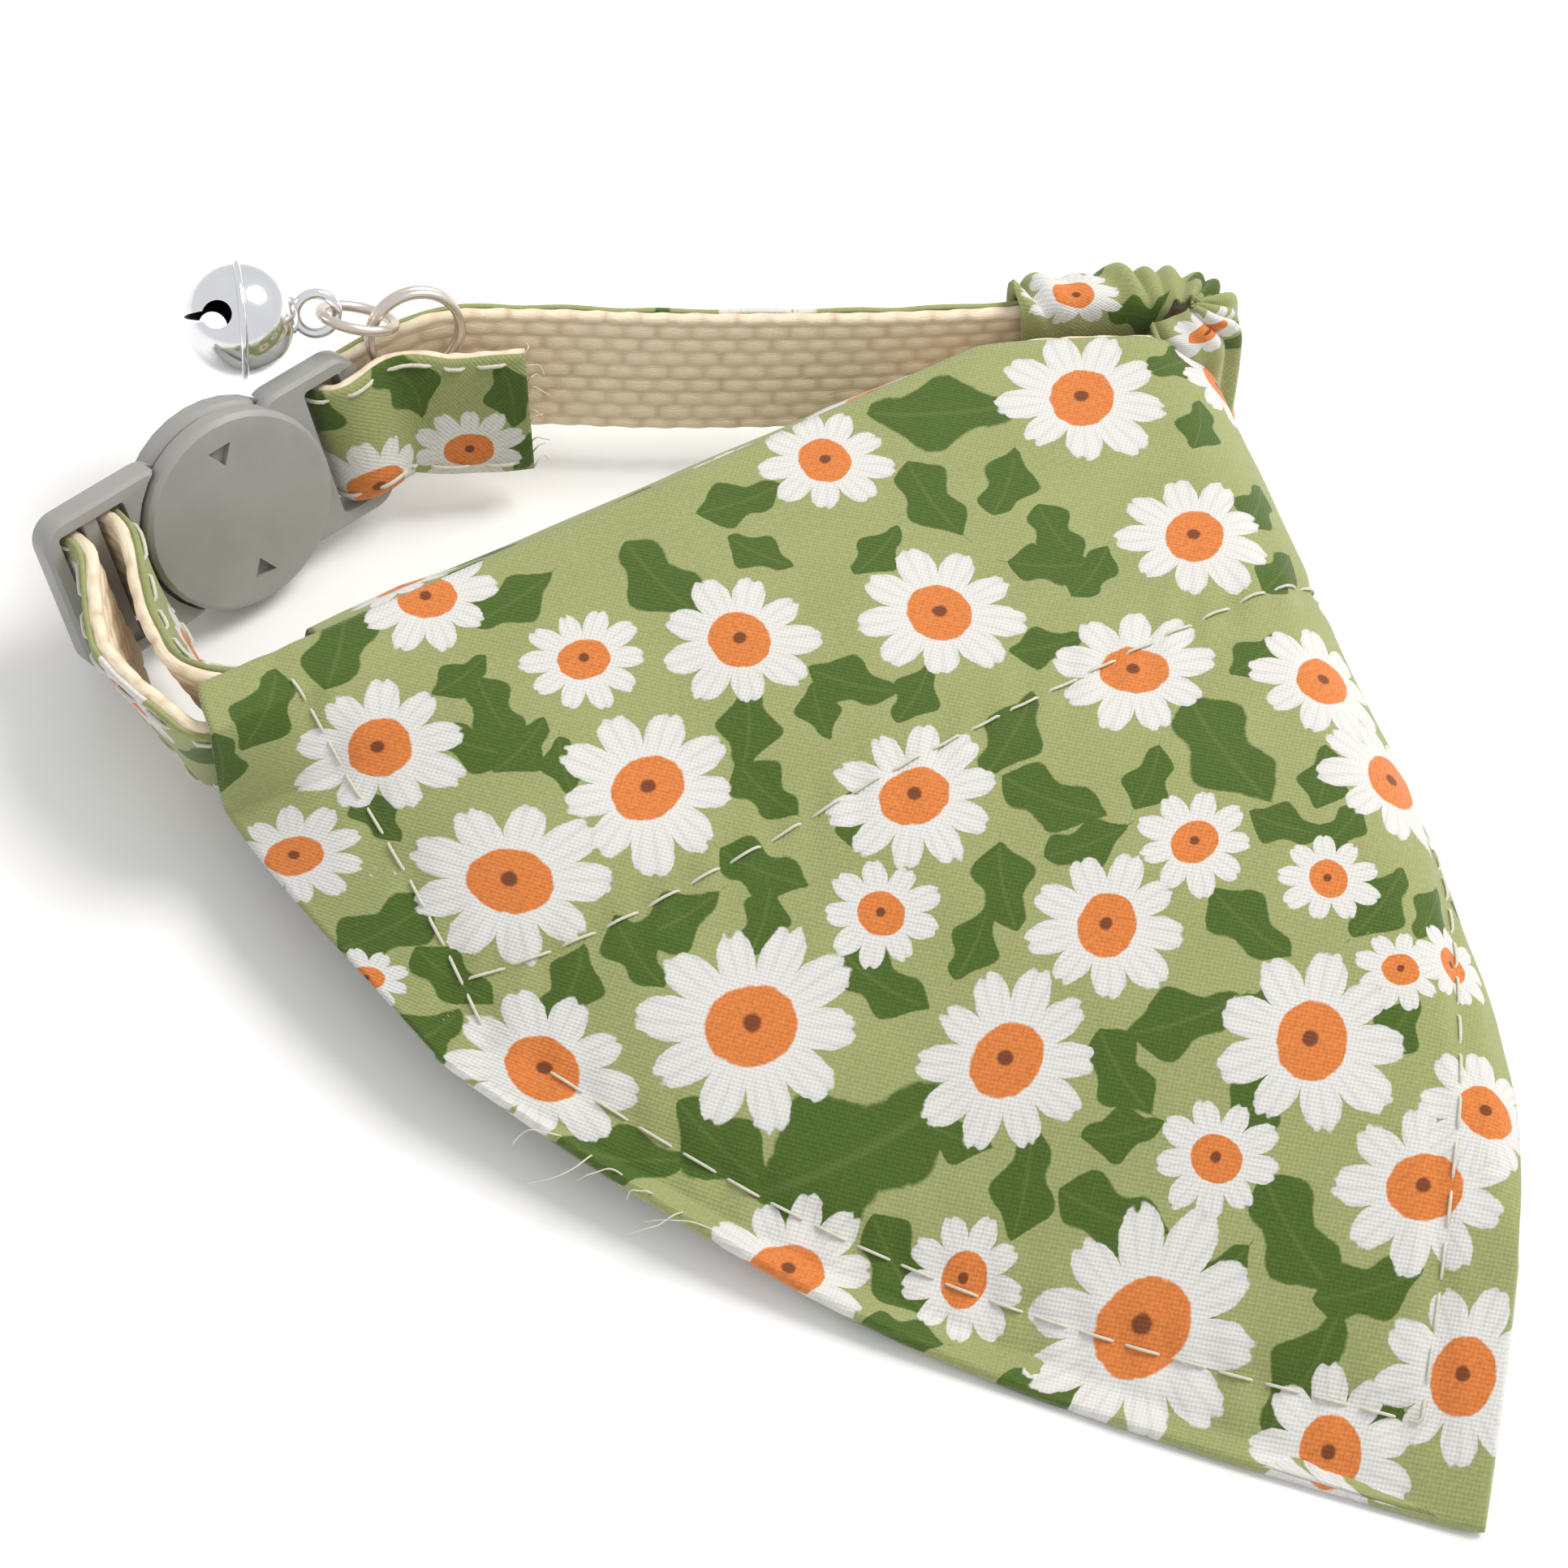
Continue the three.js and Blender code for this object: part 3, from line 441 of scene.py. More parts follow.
def printedCotton():
    f = Finish("printedCotton")
    c = printLook
    millimetres = clothMillimetres(f)
    wander = f.speckle(c["wander"], 3, millimetres) - 0.5  # makes the printed edges a little uneven
    grain = f.speckle(c["grain"], 2, millimetres)
    # the ground is darker in large soft random blotches
    blotches = f.speckle(c["blotches"], 3, millimetres).between(0.3, 0.75)
    ground = f.blend(blotches * 0.5, c["ground"], shaded(c["ground"], 0.86))
    ground = f.blend(grain.between(0.35, 0.75) * 0.35, ground, shaded(c["ground"], 1.35))
    leafColour = f.blend(grain.between(0.3, 0.8) * 0.5, c["leaf"], shaded(c["leaf"], 1.5))
    heartColour = f.blend(grain.between(0.3, 0.8) * 0.6, c["orange"], shaded(c["orange"], 0.6))
    colour = ground
    for k in range(printLayers["leaf"]):
        leaf, rib = leafLook(f, f"leaf{k}", wander)
        colour = f.blend(leaf, colour, f.blend(rib * 0.35, leafColour, c["rib"]))
    for k in range(printLayers["daisy"]):
        petal, shade, heart, dot = daisyLook(f, f"daisy{k}", wander)
        colour = f.blend(petal, colour, f.blend(shade, c["petal"], c["petalShade"]))
        colour = f.blend(heart, colour, heartColour)
        colour = f.blend(dot * 0.9, colour, c["dot"])
    across, down, flat = f.split(millimetres)
    turn = 2 * math.pi * c["threadsPerMm"]
    weave = (across * turn).maths("SINE") * (down * turn).maths("SINE")
    # the hollows between the threads are painted darker: painted shade
    hollow = f.blend(1.0, colour, c["weaveShade"], "MULTIPLY")
    colour = f.blend(weave.between(-1.0, 1.0) * c["weave"], colour, hollow)
    nap = f.speckle(c["nap"], 3, millimetres)
    height = weave * 0.6 + nap * 0.8
    bump = f.node("Bump", {}, {"Strength": 0.35, "Distance": c["depth"], "Height": height})
    rough = nap * 0.15 + 0.78
    return f.surface(
        Base_Color=colour, Roughness=rough, Normal=bump, Sheen_Weight=0.25, Sheen_Roughness=0.5, IOR=1.4
    )


threadLook = {"thread": (0.72, 0.70, 0.60), "shade": (0.50, 0.48, 0.38), "twist": 2600, "depth": 0.0001}


def cottonThread():
    f = Finish("cottonThread")
    twist = f.speckle(threadLook["twist"], 2)
    colour = f.blend(twist, threadLook["shade"], threadLook["thread"])
    bump = f.node("Bump", {}, {"Strength": 0.4, "Distance": threadLook["depth"], "Height": twist})
    return f.surface(Base_Color=colour, Roughness=0.75, Normal=bump)


cottonFinish = printedCotton()
threadFinish = cottonThread()


def linked(name, data):
    made = bpy.data.objects.new(name, data)
    bpy.context.scene.collection.objects.link(made)
    return made


def meshFrom(bm, name):
    mesh = bpy.data.meshes.new(name)
    bm.to_mesh(mesh)
    bm.free()
    return mesh


# the mesh that a holder's curve or modifiers make; the holder and its cutters go
def meshOf(holder, cutters=()):
    mesh = bpy.data.meshes.new_from_object(holder.evaluated_get(bpy.context.evaluated_depsgraph_get()))
    for thing in (holder, *cutters):
        bpy.data.objects.remove(thing)
    return mesh


def addPiece(mesh, name, material, nodes=()):
    piece = linked(name, mesh)
    mesh.materials.clear()
    mesh.materials.append(material)
    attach(piece, "root")
    if nodes:
        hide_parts(*nodes)
    return piece


def inMetres(point):
    return (point + collarPlace) * mm


# smooth faces, with the cloth coordinates in tenths of a metre as uv
def chartFaces(bm, uv, charted):
    for face in bm.faces:
        face.smooth = True
        for loop in face.loops:
            loop[uv].uv = (charted[loop.vert][0] / 100, charted[loop.vert][1] / 100)


# a cloth sheet from a grid: place gives the point in mm, chart the cloth coordinates of its print
def clothSheet(name, cells, place, chart, daisyRows, leafRows, thickness, flip=False, offset=0.0, nodes=()):
    bm = bmesh.new()
    uv = bm.loops.layers.uv.new("cloth")
    bmesh.ops.create_grid(bm, x_segments=cells[0], y_segments=cells[1], size=0.5)
    daisyLayers = inLayers(daisyRows, daisyReach, printLayers["daisy"])
    leafLayers = inLayers(leafRows, leafReach, printLayers["leaf"])
    layers = [(f"daisy{k}", daisyFields, rows) for k, rows in enumerate(daisyLayers)]
    layers += [(f"leaf{k}", leafFields, rows) for k, rows in enumerate(leafLayers)]
    within = [bm.verts.layers.float.new(key + "In") for key, fields, rows in layers]
    spots = [bm.verts.layers.float_vector.new(key) for key, fields, rows in layers]
    charted = {}
    for vert in bm.verts:
        s, t = vert.co.x + 0.5, vert.co.y + 0.5
        charted[vert] = chart(s, t)
        for k, (key, fields, rows) in enumerate(layers):
            vert[within[k]], vert[spots[k]] = fields(*charted[vert], rows)
        vert.co = inMetres(place(s, t))
    chartFaces(bm, uv, charted)
    if flip:
        bmesh.ops.reverse_faces(bm, faces=bm.faces)
    piece = addPiece(meshFrom(bm, name), name, cottonFinish, nodes)
    wall = piece.modifiers.new("wall", "SOLIDIFY")
    wall.thickness = thickness * mm
    wall.offset = offset
    return piece


# thread or wire: one tube for each list of points in mm, thinner where its radius share is below 1
def threads(name, runs, radius, material, sides=2, closed=False):
    curve = bpy.data.curves.new(name, "CURVE")
    curve.dimensions = "3D"
    curve.bevel_depth = radius * mm
    curve.bevel_resolution = sides
    curve.use_fill_caps = not closed
    for run in runs:
        spline = curve.splines.new("POLY")
        spline.points.add(len(run) - 1)
        spline.use_cyclic_u = closed
        for point, (where, share) in zip(spline.points, run):
            point.co = (*inMetres(where), 1)
            point.radius = share
    mesh = meshOf(linked(name, curve))
    for face in mesh.polygons:
        face.use_smooth = True
    return addPiece(mesh, name, material)


# the bandana's stitching, in cloth millimetres; hemIn and sideIn are from the edges
stitching = {
    "pitch": 3.1, "length": 2.75, "radius": 0.115, "hemIn": 7.2, "sideIn": 5.6, "sideWave": 0.9, "step": 0.5,
    "sink": 0.28, "pucker": 1.3, "ripple": 0.12, "rippleReach": 2.6, "cell": 3, "far": 9.0,
}
# soft waves of the cloth, each as size in mm, waves per mm and seed; they grow from the fold to full size
softWaves = {"waves": [(0.55, 0.055, 4.0), (0.18, 0.16, 9.0)], "grow": (1.0, 7.0), "full": 0.8}


def runThrough(points, step):
    out = [points[0]]
    for a, b in zip(points, points[1:]):
        n = max(1, int(math.hypot(b[0] - a[0], b[1] - a[1]) / step))
        out += [(mixed(a[0], b[0], k / n), mixed(a[1], b[1], k / n)) for k in range(1, n + 1)]
    return out


channelLine = [(u, bandanaShape["channelDepth"]) for u in range(6, 92, 4)]
sideLine = [(stitching["sideIn"] + stitching["sideWave"] * math.sin(v / 12), v) for v in range(2, 37, 4)]
hemAlong = [*range(8, 44, 4), bandanaShape["tipAlong"], *range(48, 88, 4)]
hemLine = [(u, hemDepth(u) - stitching["hemIn"]) for u in hemAlong]
stitchLines = [channelLine, sideLine, hemLine]


def stitchCell(u, v):
    return int(u // stitching["cell"]), int(v // stitching["cell"])


stitchCells = {}
for line in stitchLines:
    for point in runThrough(line, stitching["step"]):
        stitchCells.setdefault(stitchCell(*point), []).append(point)


def seamDistance(u, v):
    column, row = stitchCell(u, v)
    best = stitching["far"]
    for i in (-1, 0, 1):
        for j in (-1, 0, 1):
            for a, b in stitchCells.get((column + i, row + j), ()):
                best = min(best, math.hypot(a - u, b - v))
    return best


def clothLift(u, v):
    waves = 0.0
    for size, rate, seed in softWaves["waves"]:
        waves += noise.noise(Vector((u * rate, v * rate, seed))) * size
    away = seamDistance(u, v)
    sink = stitching["sink"] * math.exp(-((away / stitching["pucker"]) ** 2))
    beside = math.exp(-((away / stitching["rippleReach"]) ** 2))
    ripple = stitching["ripple"] * math.sin(u * 1.9 + v * 1.1) * beside  # slants across the seams
    return waves * eased(v, *softWaves["grow"]) * softWaves["full"] - sink + ripple


def clothNormal(u, v, h=0.25):
    across = clothPoint(u + h, v) - clothPoint(u - h, v)
    down = clothPoint(u, v + h) - clothPoint(u, v - h)
    return -across.cross(down).normalized()


def clothSurface(u, v):
    return clothPoint(u, v) + clothNormal(u, v) * clothLift(u, v)


# the hem turned under: share of the rows that it takes, its width, and the roll at the edge
hemShape = {"share": 0.10, "width": 7.0, "roll": 0.9, "drop": 0.95, "out": 0.35, "floor": 0.35}


def hemmedCoords(s, t):
    taken = hemShape["share"]
    return frontCoords(s, min(1.0, t / (1 - taken))), max(0.0, (t - 1 + taken) / taken)


def frontPlace(s, t):
    (u, v), under = hemmedCoords(s, t)
    if under == 0:
        return clothSurface(u, v)
    h = hemShape
    lap = under * h["width"]
    rolled = clamp(lap / h["roll"])
    inward = v - max(0.0, lap - h["roll"])
    edge = (clothPoint(u, v) - clothPoint(u, v - 1)).normalized()
    point = clothSurface(u, inward)
    point += edge * h["out"] * math.sin(math.pi * rolled) - clothNormal(u, inward) * h["drop"] * rolled
    point.z = max(point.z, h["floor"])
    return point


def frontChart(s, t):
    (u, v), under = hemmedCoords(s, t)
    return u, v + under * hemShape["width"]


bandanaFront = clothSheet(
    "bandanaFront", (bandanaShape["columns"], bandanaShape["rows"]), frontPlace, frontChart,
    daisies, leaves, bandanaShape["cloth"], flip=True, offset=-1.0, nodes=["bandana"],
)
print("bandana front made")

# one stitch: points in it, how far its middle stands off the cloth and its ends go in, in mm; a line's
# first one begins at from
stitchShape = {
    "points": 7, "lift": 0.17, "liftCurve": 0.4, "lower": 0.01, "deep": 0.25, "endShare": 0.55,
    "from": 0.4, "step": 0.1,
}


# stitches of one length at an even pitch along each line; surface and normalAt say where the cloth is
def stitches(name, lines, surface, normalAt, pitch, length, radius):
    last = stitchShape["points"] - 1
    runs = []
    for line in lines:
        path = runThrough(line, stitchShape["step"])
        walked = [0.0]
        for a, b in zip(path, path[1:]):
            walked.append(walked[-1] + math.hypot(b[0] - a[0], b[1] - a[1]))
        start = stitchShape["from"]
        while start + length < walked[-1]:
            run = []
            for k in range(last + 1):
                at = start + length * k / last
                u, v = path[next(i for i, w in enumerate(walked) if w >= at)]
                bow = stitchShape["lift"] * math.sin(math.pi * k / last) ** stitchShape["liftCurve"]
                ends = k in (0, last)
                lift = -stitchShape["deep"] if ends else bow - stitchShape["lower"]
                run.append((surface(u, v) + normalAt(u, v) * lift, stitchShape["endShare"] if ends else 1.0))
            runs.append(run)
            start += pitch
    return threads(name, runs, radius, threadFinish, sides=1)


bandanaStitches = stitches(
    "bandanaStitches", stitchLines, clothSurface, clothNormal,
    stitching["pitch"], stitching["length"], stitching["radius"],
)
print("bandana stitched")


# the strap in mm; its webbing and cover lie in its thickness
strapShape = {
    "width": 10.0, "thickness": 1.6, "height": 7.9, "loopLength": 62.0, "loopDepth": 36.0, "step": 0.42,
    "webbing": 1.15, "rowsAcross": 9, "knuckle": 2.4, "relief": 0.17, "edgeFrom": 0.9, "edgeWave": 0.012,
    "sideGap": 0.15, "cellsAround": 92, "chartAround": 20, "backShift": 1.2,
    "stagger": 0.5, "uneven": 0.07, "ridgeCurve": 0.5, "knuckleCurve": 0.45,
}
claspShape = {
    "centre": (-40.0, 19.3), "heading": 39.8, "lean": 20.6, "bar": 1.6,
    "innerSlot": -8.9, "middleBar": -10.55, "outerSlot": -12.2, "slotOut": 2.2,
    "windowEnd": 11.1, "rightEnd": 12.6, "layer": 1.9, "tailOff": 2.0, "tailIn": 0.1, "loopOff": 1.2,
}
# the strap's route: shares of the loop's length and depth, lean of its width in degrees
tailRows = [(0.343, 0.83, 19), (0.25, 0.815, 20)]
loopRows = [
    (0.235, 0.935, 20), (0.345, 0.945, 19), (0.49, 0.935, 19), (0.65, 0.937, 17), (0.79, 0.95, 12),
    (0.918, 0.98, 4), (1.0, 1.012, 2), (1.08, 1.022, 1), (1.13, 1.0, 0), (1.147, 0.961, 0), (1.13, 0.918, 0),
    (1.08, 0.9, 1), (1.0, 0.898, 2), (0.92, 0.89, 5), (0.81, 0.83, 12), (0.69, 0.724, 16), (0.48, 0.517, 18),
    (0.276, 0.289, 18), (0.148, 0.113, 18), (0.006, -0.045, 17), (-0.045, 0.03, 16), (-0.10, 0.15, 18),
]
innerRows = [(-0.05, 0.225, 18), (-0.012, 0.11, 17), (0.03, 0.085, 17), (0.131, 0.18, 18), (0.20, 0.26, 18)]
claspAlong = planDirection(claspShape["heading"])
claspFace = raised(claspShape["heading"] - 90, claspShape["lean"])
claspUp = claspFace.cross(claspAlong)
claspCentre = Vector((*claspShape["centre"], strapShape["height"]))


def onLoop(a, b, height=0.0):
    return neckStart + Vector((a * strapShape["loopLength"], b * strapShape["loopDepth"], height))


def onClasp(along, out):
    return claspCentre + claspAlong * along + claspFace * out


def planRows(rows, side):
    places = [onLoop(a, b, strapShape["height"]) for a, b, lean in rows]
    out = []
    for i, (a, b, lean) in enumerate(rows):
        travel = (places[min(len(rows) - 1, i + 1)] - places[max(0, i - 1)]).normalized()
        outward = up.cross(travel) * side
        out.append((places[i], up * math.cos(math.radians(lean)) + outward * math.sin(math.radians(lean))))
    return out


# a half turn round a bar of the clasp, with its angles in degrees
def turnRows(barAt, outAt, radius, start, end, steps=6):
    angles = [math.radians(mixed(start, end, i / steps)) for i in range(steps + 1)]
    return [(onClasp(barAt + radius * math.cos(a), outAt + radius * math.sin(a)), claspUp) for a in angles]


# from the folded-back end round the right half's bar, the loop and the left half's bar to the inner end
def strapRows():
    c = claspShape
    return [
        *planRows(tailRows, -1),
        (onClasp(c["rightEnd"] + c["tailOff"], c["layer"] - c["tailIn"]), claspUp),
        *turnRows(c["windowEnd"], 0, c["layer"], 90, 270),
        (onClasp(c["rightEnd"] + c["loopOff"], -c["layer"]), claspUp),
        *planRows(loopRows, 1),
        (onClasp(c["outerSlot"], c["slotOut"]), claspUp),
        *turnRows(c["middleBar"], -c["bar"] / 2, (c["innerSlot"] - c["outerSlot"]) / 2, 180, 360),
        (onClasp(c["innerSlot"], c["slotOut"]), claspUp),
        *planRows(innerRows, -1),
    ]


# the curve from p1 to p2 in fine steps; its ease follows the spacing of the four points
def easedSpan(p0, p1, p2, p3, fine, shares):
    d0, d1, d2 = [max(1e-3, (b - a).length) ** 0.5 for a, b in ((p0, p1), (p1, p2), (p2, p3))]
    m1 = ((p1 - p0) / d0 - (p2 - p0) / (d0 + d1) + (p2 - p1) / d1) * d1
    m2 = ((p2 - p1) / d1 - (p3 - p1) / (d1 + d2) + (p3 - p2) / d2) * d1
    for t in shares:
        start, end = 2 * t**3 - 3 * t**2 + 1, 3 * t**2 - 2 * t**3
        fine.append(p1 * start + m1 * (t**3 - 2 * t**2 + t) + p2 * end + m2 * (t**3 - t**2))


# evenly stepped along the strap: where, width direction, face direction into the loop
def strapFrames():
    rows = strapRows()
    places = [row[0] for row in rows]
    fine, widths = [], []
    for i in range(len(rows) - 1):
        p1, p2 = places[i], places[i + 1]
        p0 = places[i - 1] if i else p1 * 2 - p2
        p3 = places[i + 2] if i + 2 < len(rows) else p2 * 2 - p1
        steps = max(2, int((p2 - p1).length / 0.1))
        shares = [j / steps for j in range(steps + (1 if i == len(rows) - 2 else 0))]
        easedSpan(p0, p1, p2, p3, fine, shares)
        widths += [rows[i][1].lerp(rows[i + 1][1], t) for t in shares]
    walked = [0.0]
    for a, b in zip(fine, fine[1:]):
        walked.append(walked[-1] + (b - a).length)
    count = int(walked[-1] / strapShape["step"])
    frames = []
    k = 0
    for n in range(count + 1):
        target = walked[-1] * n / count
        while k + 2 < len(fine) and walked[k + 1] < target:
            k += 1
        share = clamp((target - walked[k]) / max(1e-6, walked[k + 1] - walked[k]))
        frames.append([fine[k].lerp(fine[k + 1], share), widths[k].lerp(widths[k + 1], share)])
    for n, row in enumerate(frames):
        travel = (frames[min(count, n + 2)][0] - frames[max(0, n - 2)][0]).normalized()
        row[1] = (row[1] - travel * row[1].dot(travel)).normalized()
        row.append(travel.cross(row[1]))
    return frames, walked[-1]


strapWay, strapLength = strapFrames()
print("strap length mm", round(strapLength, 1))


def onStrap(along, across, out):
    n = clamp(along / strapLength) * (len(strapWay) - 1)
    k = min(int(n), len(strapWay) - 2)
    a, b = strapWay[k], strapWay[k + 1]
    at, width, face = [a[i].lerp(b[i], n - k) for i in range(3)]
    return at + width.normalized() * across + face.normalized() * out


webbingLook = {
    "yarn": (0.83, 0.70, 0.50), "deep": (0.60, 0.44, 0.27), "pale": (0.90, 0.80, 0.63),
    "strand": 1.3, "stretch": (1.2, 7.0, 1.0), "depth": 0.00015,
}


def cottonWebbing():
    f = Finish("cottonWebbing")
    c = webbingLook
    # the low places of the weave are painted towards deep: painted shade in the hollows
    low = f.field("low").between(0.0, 1.0)
    fibre = f.node("VectorMath", {"operation": "MULTIPLY"}, {0: clothMillimetres(f), 1: c["stretch"]})
    strand = f.speckle(c["strand"], 3, fibre)
    colour = f.blend(strand.between(0.3, 0.75), c["yarn"], c["pale"])
    colour = f.blend(low * 0.75, colour, c["deep"])
    bump = f.node("Bump", {}, {"Strength": 0.5, "Distance": c["depth"], "Height": strand})
    return f.surface(Base_Color=colour, Roughness=strand * 0.1 + 0.8, Normal=bump, Sheen_Weight=0.2)


# one yarn's rounded knuckle in a staggered weave: 0 in the hollows, 1 on top
def knuckleHeight(along, across):
    pitch = strapShape["width"] / strapShape["rowsAcross"]
    row = math.floor(across / pitch)
    ridge = abs(math.sin(math.pi * across / pitch)) ** strapShape["ridgeCurve"]
    stagger = (row % 2) * strapShape["stagger"] + strapShape["uneven"] * math.sin(row * 5.1)
    wave = abs(math.cos(math.pi * (along / strapShape["knuckle"] + stagger))) ** strapShape["knuckleCurve"]
    return ridge * wave


# t goes once round the webbing: the first half over the woven face, the second over the back; it also gives
# how low the place lies in the weave, where the colour gets painted shade
def webbingPlace(s, t):
    b = strapShape
    half = b["width"] / 2 - b["sideGap"]
    inner = b["thickness"] / 2
    outer = inner - b["webbing"]
    along = s * strapLength
    around = t * 2
    if around <= 1:
        across = mixed(-half, half, around)
        knuckle = knuckleHeight(along, across + half)
        out = inner - b["relief"] * (1 - knuckle)
    else:
        across = mixed(half, -half, around - 1)
        knuckle = knuckleHeight(along + b["backShift"], across + half)
        out = outer + b["relief"] * (1 - knuckle) * 0.5
    edge = max(0.0, (abs(across) / half - b["edgeFrom"]) / (1 - b["edgeFrom"]))
    out = mixed(out, (inner + outer) / 2, edge**2)
    across *= 1 + b["edgeWave"] * math.sin(along * 2 * math.pi / b["knuckle"]) * edge
    return onStrap(along, across, out), 1 - knuckle


def makeWebbing():
    bm = bmesh.new()
    uv = bm.loops.layers.uv.new("cloth")
    cells = int(strapLength / strapShape["step"])
    bmesh.ops.create_grid(bm, x_segments=cells, y_segments=strapShape["cellsAround"], size=0.5)
    # low holds how deep each place lies in the weave, for the painted shade
    low = bm.verts.layers.float.new("low")
    charted = {}
    for vert in bm.verts:
        s, t = vert.co.x + 0.5, vert.co.y + 0.5
        charted[vert] = (s * strapLength, t * strapShape["chartAround"])
        point, vert[low] = webbingPlace(s, t)
        vert.co = inMetres(point)
    chartFaces(bm, uv, charted)
    bmesh.ops.remove_doubles(bm, verts=bm.verts, dist=1e-6)
    bmesh.ops.holes_fill(bm, edges=[e for e in bm.edges if e.is_boundary], sides=0)
    bmesh.ops.recalc_face_normals(bm, faces=bm.faces)
    return addPiece(meshFrom(bm, "strapWebbing"), "strapWebbing", cottonWebbing(), ["strap"])


strapWebbing = makeWebbing()
print("webbing made")

# the printed cover on the strap's outer face, with a seam along both edges; curl lifts its edges
coverShape = {
    "cloth": 0.36, "width": 9.5, "chartWidth": 10, "cells": (560, 26), "wave": 0.012,
    "curl": 0.25, "curlFrom": 0.9, "seam": 4.1, "pull": 0.10, "pullReach": 0.5, "rumple": 0.05,
    "pitch": 3.2, "stitch": 2.5, "thread": 0.16, "threadOut": 0.2, "repeat": 13.5, "repeats": 15,
}


# the cover's print in mm: along the strap from its folded end, across, then as for the bandana
def coverDaisy(k):
    across = coverShape["chartWidth"] / 2 + 3.2 * math.sin(k * 2.1)
    return 24.0 + coverShape["repeat"] * k, across, 4.2 + 0.7 * math.sin(k * 3.7), 31 * k % 72


def coverLeaf(k):
    across = coverShape["chartWidth"] / 2 - 2.4 * math.sin(k * 2.1)
    return 30.5 + coverShape["repeat"] * k, across, 6.4, 2.8, 50 + 40 * math.sin(k)


coverDaisies = [(4.5, 7.8, 3.9, 20), (13.2, 9.2, 4.4, 50)]
coverDaisies += [coverDaisy(k) for k in range(coverShape["repeats"])]
coverLeaves = [
    (16.0, 2.2, 5.5, 2.6, 60), (9.2, 2.4, 6.0, 2.8, 115), (1.5, 3.4, 5.5, 2.8, 95), (0.6, 8.4, 4.0, 2.0, 60),
]
coverLeaves += [coverLeaf(k) for k in range(coverShape["repeats"])]


def coverPlace(s, t):
    c = coverShape
    along = s * strapLength
    across = (t - 0.5) * c["width"] * (1 + c["wave"] * math.sin(along * 0.9))
    edge = max(0.0, abs(t - 0.5) * 2 - c["curlFrom"]) / (1 - c["curlFrom"])
    out = -strapShape["thickness"] / 2 + c["cloth"] / 2 + c["curl"] * edge
    out += c["pull"] * math.exp(-(((abs(across) - c["seam"]) / c["pullReach"]) ** 2))
    out -= c["rumple"] * noise.noise(Vector((along * 0.5, across * 0.5, 2.0)))
    return onStrap(along, -across, out)


def coverChart(s, t):
    return s * strapLength, t * coverShape["chartWidth"]


strapCover = clothSheet(
    "strapCover", coverShape["cells"], coverPlace, coverChart, coverDaisies, coverLeaves, coverShape["cloth"],
    flip=True,
)


def coverNormal(along, across):
    return (onStrap(along, -across, -1) - onStrap(along, -across, 0)).normalized()


def coverTop(along, across):
    onCover = coverPlace(clamp(along / strapLength), across / coverShape["width"] + 0.5)
    return onCover + coverNormal(along, across) * coverShape["threadOut"]


seamAlong = [0.8, strapLength / 3, strapLength * 2 / 3, strapLength - 1]
seams = [[(along, side * coverShape["seam"]) for along in seamAlong] for side in (-1, 1)]
coverStitches = stitches(
    "coverStitches", seams, coverTop, coverNormal,
    coverShape["pitch"], coverShape["stitch"], coverShape["thread"],
)
print("strap dressed")


# the clasp's halves are the solids with their edges eased; sharp is the least angle that is eased
claspLook = {
    "ease": 0.16, "segments": 3, "sharp": 35, "grey": (0.34, 0.338, 0.322), "speck": (0.30, 0.297, 0.28),
    "cloud": 260, "grain": 5200, "depth": 0.00005,
}


def mattePlastic():
    f = Finish("mattePlastic")
    cloud = f.speckle(claspLook["cloud"], 4).between(0.3, 0.75)
    fine = f.speckle(claspLook["grain"], 3)
    colour = f.blend(cloud * 0.8, claspLook["grey"], claspLook["speck"])
    bump = f.node("Bump", {}, {"Strength": 0.22, "Distance": claspLook["depth"], "Height": fine})
    return f.surface(Base_Color=colour, Roughness=cloud * 0.1 + 0.46, Normal=bump, IOR=1.46)


def easedCopy(node, name):
    bm = bmesh.new()
    bm.from_mesh(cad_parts[node].data)
    bmesh.ops.remove_doubles(bm, verts=bm.verts, dist=1e-6)
    bmesh.ops.dissolve_limit(bm, angle_limit=0.02, verts=bm.verts, edges=bm.edges)
    mesh = meshFrom(bm, name)
    for face in mesh.polygons:
        face.use_smooth = True
    piece = addPiece(mesh, name, claspFinish, [node])
    ease = piece.modifiers.new("ease", "BEVEL")
    ease.width = claspLook["ease"] * mm
    ease.segments = claspLook["segments"]
    ease.limit_method = "ANGLE"
    ease.angle_limit = math.radians(claspLook["sharp"])
    ease.harden_normals = True
    return piece


claspFinish = mattePlastic()
claspLeftHalf = easedCopy("clasp_left_half", "claspLeftHalf")
claspRightHalf = easedCopy("clasp_right_half", "claspRightHalf")
print("clasp dressed")


# ring, link and bell, in mm and degrees; wire is its thickness
ringShape = {
    "middle": (-26.8, 31.0, 13.0), "radius": 3.4, "wire": 1.2, "heading": 20, "lean": 16,
    "coil": 0.35, "from": 250, "turns": 1.88, "steps": 160, "apart": 0.29, "cross": (0.32, 0.62),
    "endLength": 12, "endShare": 0.55,
}
hangShape = {
    "hook": 150, "heading": 150, "drop": 5, "link": 2.7, "wire": 0.8, "eye": 1.5, "linkGap": 0.39,
    "eyeGap": 0.36, "eyeSunk": 0.2,
}
# the bell's inside colour is painted shade, near black
bellShape = {
    "radius": 4.2, "wall": 0.45, "heading": 190, "rise": 5, "slit": (-90, 54), "slot": 0.8,
    "slitShare": 0.86, "hole": 1.05, "holeDown": 0.42, "band": 0.28, "cells": (72, 48), "sharp": 35,
    "inside": (0.008, 0.008, 0.009),
}
metalLook = {
    "nickel": (0.74, 0.67, 0.60), "plate": (0.86, 0.87, 0.90),
    "smear": 700, "scratches": 4200, "depth": 0.00003,
}
